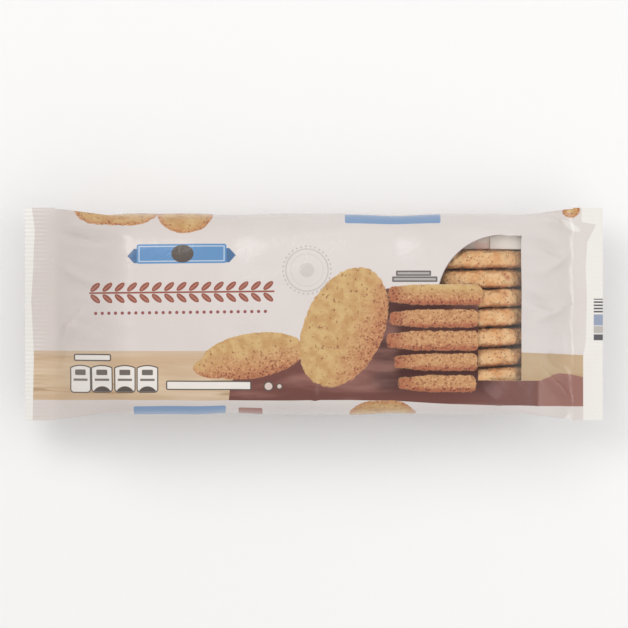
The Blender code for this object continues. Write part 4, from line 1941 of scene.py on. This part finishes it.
@dataclass
class CookieRow:
    """Seven round cookies on edge in the well, resting on its bottom."""

    well: TrayWell = TrayWell()
    rest_gap: float = 0.35
    radius: float = 29.75
    middles_y: tuple[float, ...] = (25.6, 16.3, 7.1, -1.9, -11.5, -21.1, -30.1)
    turns_deg: tuple[float, ...] = (0.5, 1.0, 2.4, 2.4, 3.3, 4.2, 4.4)
    radius_changes: tuple[float, ...] = (0.1, -0.3, 0.2, -0.1, 0.3, -0.2, 0.0)
    profile: tuple[Pair, ...] = (
        (0.12, 4.45),
        (0.44, 4.4),
        (0.79, 4.3),
        (0.965, 3.8),
        (1.01, 1.5),
        (1.015, -2.2),
        (0.985, -3.9),
        (0.83, -4.3),
        (0.45, -4.15),
        (0.12, -4.15),
    )
    sides: int = 48
    fine_levels: int = 3
    back_brown_from: float = -0.4
    back_brown_span: float = 3.6
    back_brown_most: float = 1.3
    front_brown_from: float = 2.6
    front_brown_span: float = 1.9
    front_brown_most: float = 0.9

    def build(self) -> None:
        """Build and dress the seven cookies."""
        baked = BakedOats().make()
        blank = self._blank()
        rows = zip(self.middles_y, self.turns_deg, self.radius_changes)
        for number, (middle_y, turn_deg, change) in enumerate(rows, start=1):
            cookie = self._cookie(blank, number, middle_y, turn_deg, change)
            dress(cookie, baked)
            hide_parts(f"cookie_{number}")
        bpy.data.objects.remove(blank, do_unlink=True)

    def _blank(self) -> bpy.types.Object:
        """A plain cookie at the origin: a disc, extruded ring by ring.

        Returns:
            The blank, in metres.
        """
        bpy.ops.object.select_all(action="DESELECT")
        bpy.ops.mesh.primitive_circle_add(
            vertices=self.sides,
            radius=self.radius * self.profile[0][0] * MM,
            fill_type="NGON",
            rotation=(math.pi / 2, 0.0, 0.0),
            location=(0.0, self.profile[0][1] * MM, 0.0),
        )
        blank = settle(bpy.context.object, "cookie_blank")
        with editing(blank):
            for (share, height), (wider, lower) in zip(self.profile, self.profile[1:]):
                extrude((0.0, (lower - height) * MM, 0.0))
                factor = wider / share
                centre = (0.0, lower * MM, 0.0)
                bpy.ops.transform.resize(value=(factor, 1.0, factor), center_override=centre)
            face_outwards()
        return blank

    def _cookie(
        self,
        blank: bpy.types.Object,
        number: int,
        middle_y: float,
        turn_deg: float,
        change: float,
    ) -> bpy.types.Object:
        """One cookie of the row, roughened and put in its place.

        Args:
            blank: The plain cookie.
            number: Its number in the row.
            middle_y: Its place along the row.
            turn_deg: Its turn about the upright.
            change: What its radius has over the others'.

        Returns:
            The cookie.
        """
        cookie = blank.copy()
        cookie.data = blank.data.copy()
        bpy.context.scene.collection.objects.link(cookie)
        factor = (self.radius + change) / self.radius
        floor_z = self.well.z - self.well.radius + self.rest_gap
        cookie.scale = (factor, 1.0, factor)
        middle_z = floor_z + self.radius + change
        cookie.location = (self.well.x * MM, middle_y * MM, middle_z * MM)
        cookie.rotation_euler = (0.0, 0.0, math.radians(turn_deg))
        settle(cookie, f"baked_cookie_{number}")
        fine = cookie.modifiers.new("fine", "SUBSURF")
        fine.levels = self.fine_levels
        fine.render_levels = self.fine_levels
        for texture, strength in self._roughness():
            displace = cookie.modifiers.new(texture.name, "DISPLACE")
            displace.texture = texture
            displace.texture_coords = "LOCAL"
            displace.mid_level = 0.5
            displace.strength = strength * MM
        finish_modifiers(cookie)
        self._brown(cookie, middle_y, turn_deg)
        return cookie

    def _roughness(self) -> list[tuple[bpy.types.Texture, float]]:
        """Textures that roughen a cookie, with their depths.

        Returns:
            Each texture, with its depth in mm.
        """
        kinds = (
            ("cookie_waves", "CLOUDS", 10.0, 1.9),
            ("cookie_lumps", "CLOUDS", 3.0, 1.1),
            ("cookie_flakes", "VORONOI", 2.4, -0.5),
        )
        made = []
        for name, kind, size, strength in kinds:
            texture = bpy.data.textures.get(name) or bpy.data.textures.new(name, kind)
            texture.noise_scale = size * MM
            made.append((texture, strength))
        return made

    def _brown(self, cookie: bpy.types.Object, middle_y: float, turn_deg: float) -> None:
        """Store how brown each point is, most at the edge of the flat face.

        Args:
            cookie: The cookie, in its place.
            middle_y: Its place along the row, in mm.
            turn_deg: Its turn about the upright.
        """
        points = read_points(cookie) / MM
        turn = math.radians(turn_deg)
        across, along = points[:, 0] - self.well.x, points[:, 1] - middle_y
        height = along * math.cos(turn) - across * math.sin(turn)
        lower = (self.back_brown_from - height) / self.back_brown_span
        lower = np.clip(lower, 0.0, self.back_brown_most)
        upper = np.clip((height - self.front_brown_from) / self.front_brown_span, 0.0, 1.0)
        attribute = cookie.data.attributes.new(BROWNING, "FLOAT", "POINT")
        attribute.data.foreach_set("value", np.maximum(lower, upper * self.front_brown_most))


@dataclass(frozen=True)
class Lamp:
    """A soft square light aimed at the pack. Its place and size are in mm."""

    name: str
    place: Place
    size: float
    watts: float
    glossy: bool = True

    def build(self) -> None:
        """Put the light in the scene."""
        bpy.ops.object.light_add(type="AREA", location=[value * MM for value in self.place])
        light = bpy.context.object
        light.name = self.name
        light.visible_glossy = self.glossy
        light.data.size = self.size * MM
        light.data.energy = self.watts
        x, y, z = self.place
        light.rotation_euler = (math.atan2(math.hypot(x, y), z), 0.0, math.atan2(x, -y))


@dataclass(frozen=True)
class Studio:
    """Pale floor, soft lights and a camera straight above the pack."""

    camera_height: float = 4147.0
    camera_reach: float = 50000.0
    lens: float = 500.0
    lamps: tuple[Lamp, ...] = (
        Lamp("key", (-380.0, 420.0, 900.0), 520.0, 2.75),
        Lamp("fill", (480.0, -360.0, 820.0), 620.0, 0.95),
        Lamp("top", (40.0, 60.0, 1300.0), 900.0, 1.6, glossy=False),
        Lamp("side", (800.0, 120.0, 560.0), 300.0, 1.15),
    )
    sky: Colour = (1.0, 0.99, 0.98, 1.0)
    sky_strength: float = 0.62
    floor_half_size: float = 3000.0
    floor_z: float = -0.05
    floor_colour: Colour = (0.93, 0.93, 0.93, 1.0)
    floor_roughness: float = 0.9

    def build(self) -> None:
        """Build the floor, the lights, the world and the camera."""
        self._floor()
        for lamp in self.lamps:
            lamp.build()
        world = bpy.data.worlds.new("studio")
        bpy.context.scene.world = world
        world.use_nodes = True
        background = world.node_tree.nodes["Background"]
        background.inputs["Color"].default_value = self.sky
        background.inputs["Strength"].default_value = self.sky_strength
        bpy.ops.object.camera_add(location=(0.0, 0.0, self.camera_height * MM))
        camera = bpy.context.object
        camera.rotation_euler = (0.0, 0.0, 0.0)
        camera.data.lens = self.lens
        camera.data.clip_end = self.camera_reach * MM
        bpy.context.scene.camera = camera
        bpy.context.scene.view_settings.view_transform = "Standard"
        bpy.context.scene.view_settings.look = "None"

    def _floor(self) -> None:
        """A plain pale floor."""
        bpy.ops.object.select_all(action="DESELECT")
        bpy.ops.mesh.primitive_plane_add(size=2 * self.floor_half_size * MM)
        floor = bpy.context.object
        floor.name = "floor"
        floor.location.z = self.floor_z * MM
        material, shader = new_material("floor")
        shader.inputs["Base Color"].default_value = self.floor_colour
        shader.inputs["Roughness"].default_value = self.floor_roughness
        floor.data.materials.append(material)


def main() -> None:
    """Build the pack's pieces in order, then the studio."""
    logging.basicConfig(level=logging.INFO, format="%(message)s")
    for builder in (Wrapper(), Tray(), CookieRow(), Studio()):
        LOG.info("building %s", type(builder).__name__)
        builder.build()


if __name__ == "__main__":
    main()
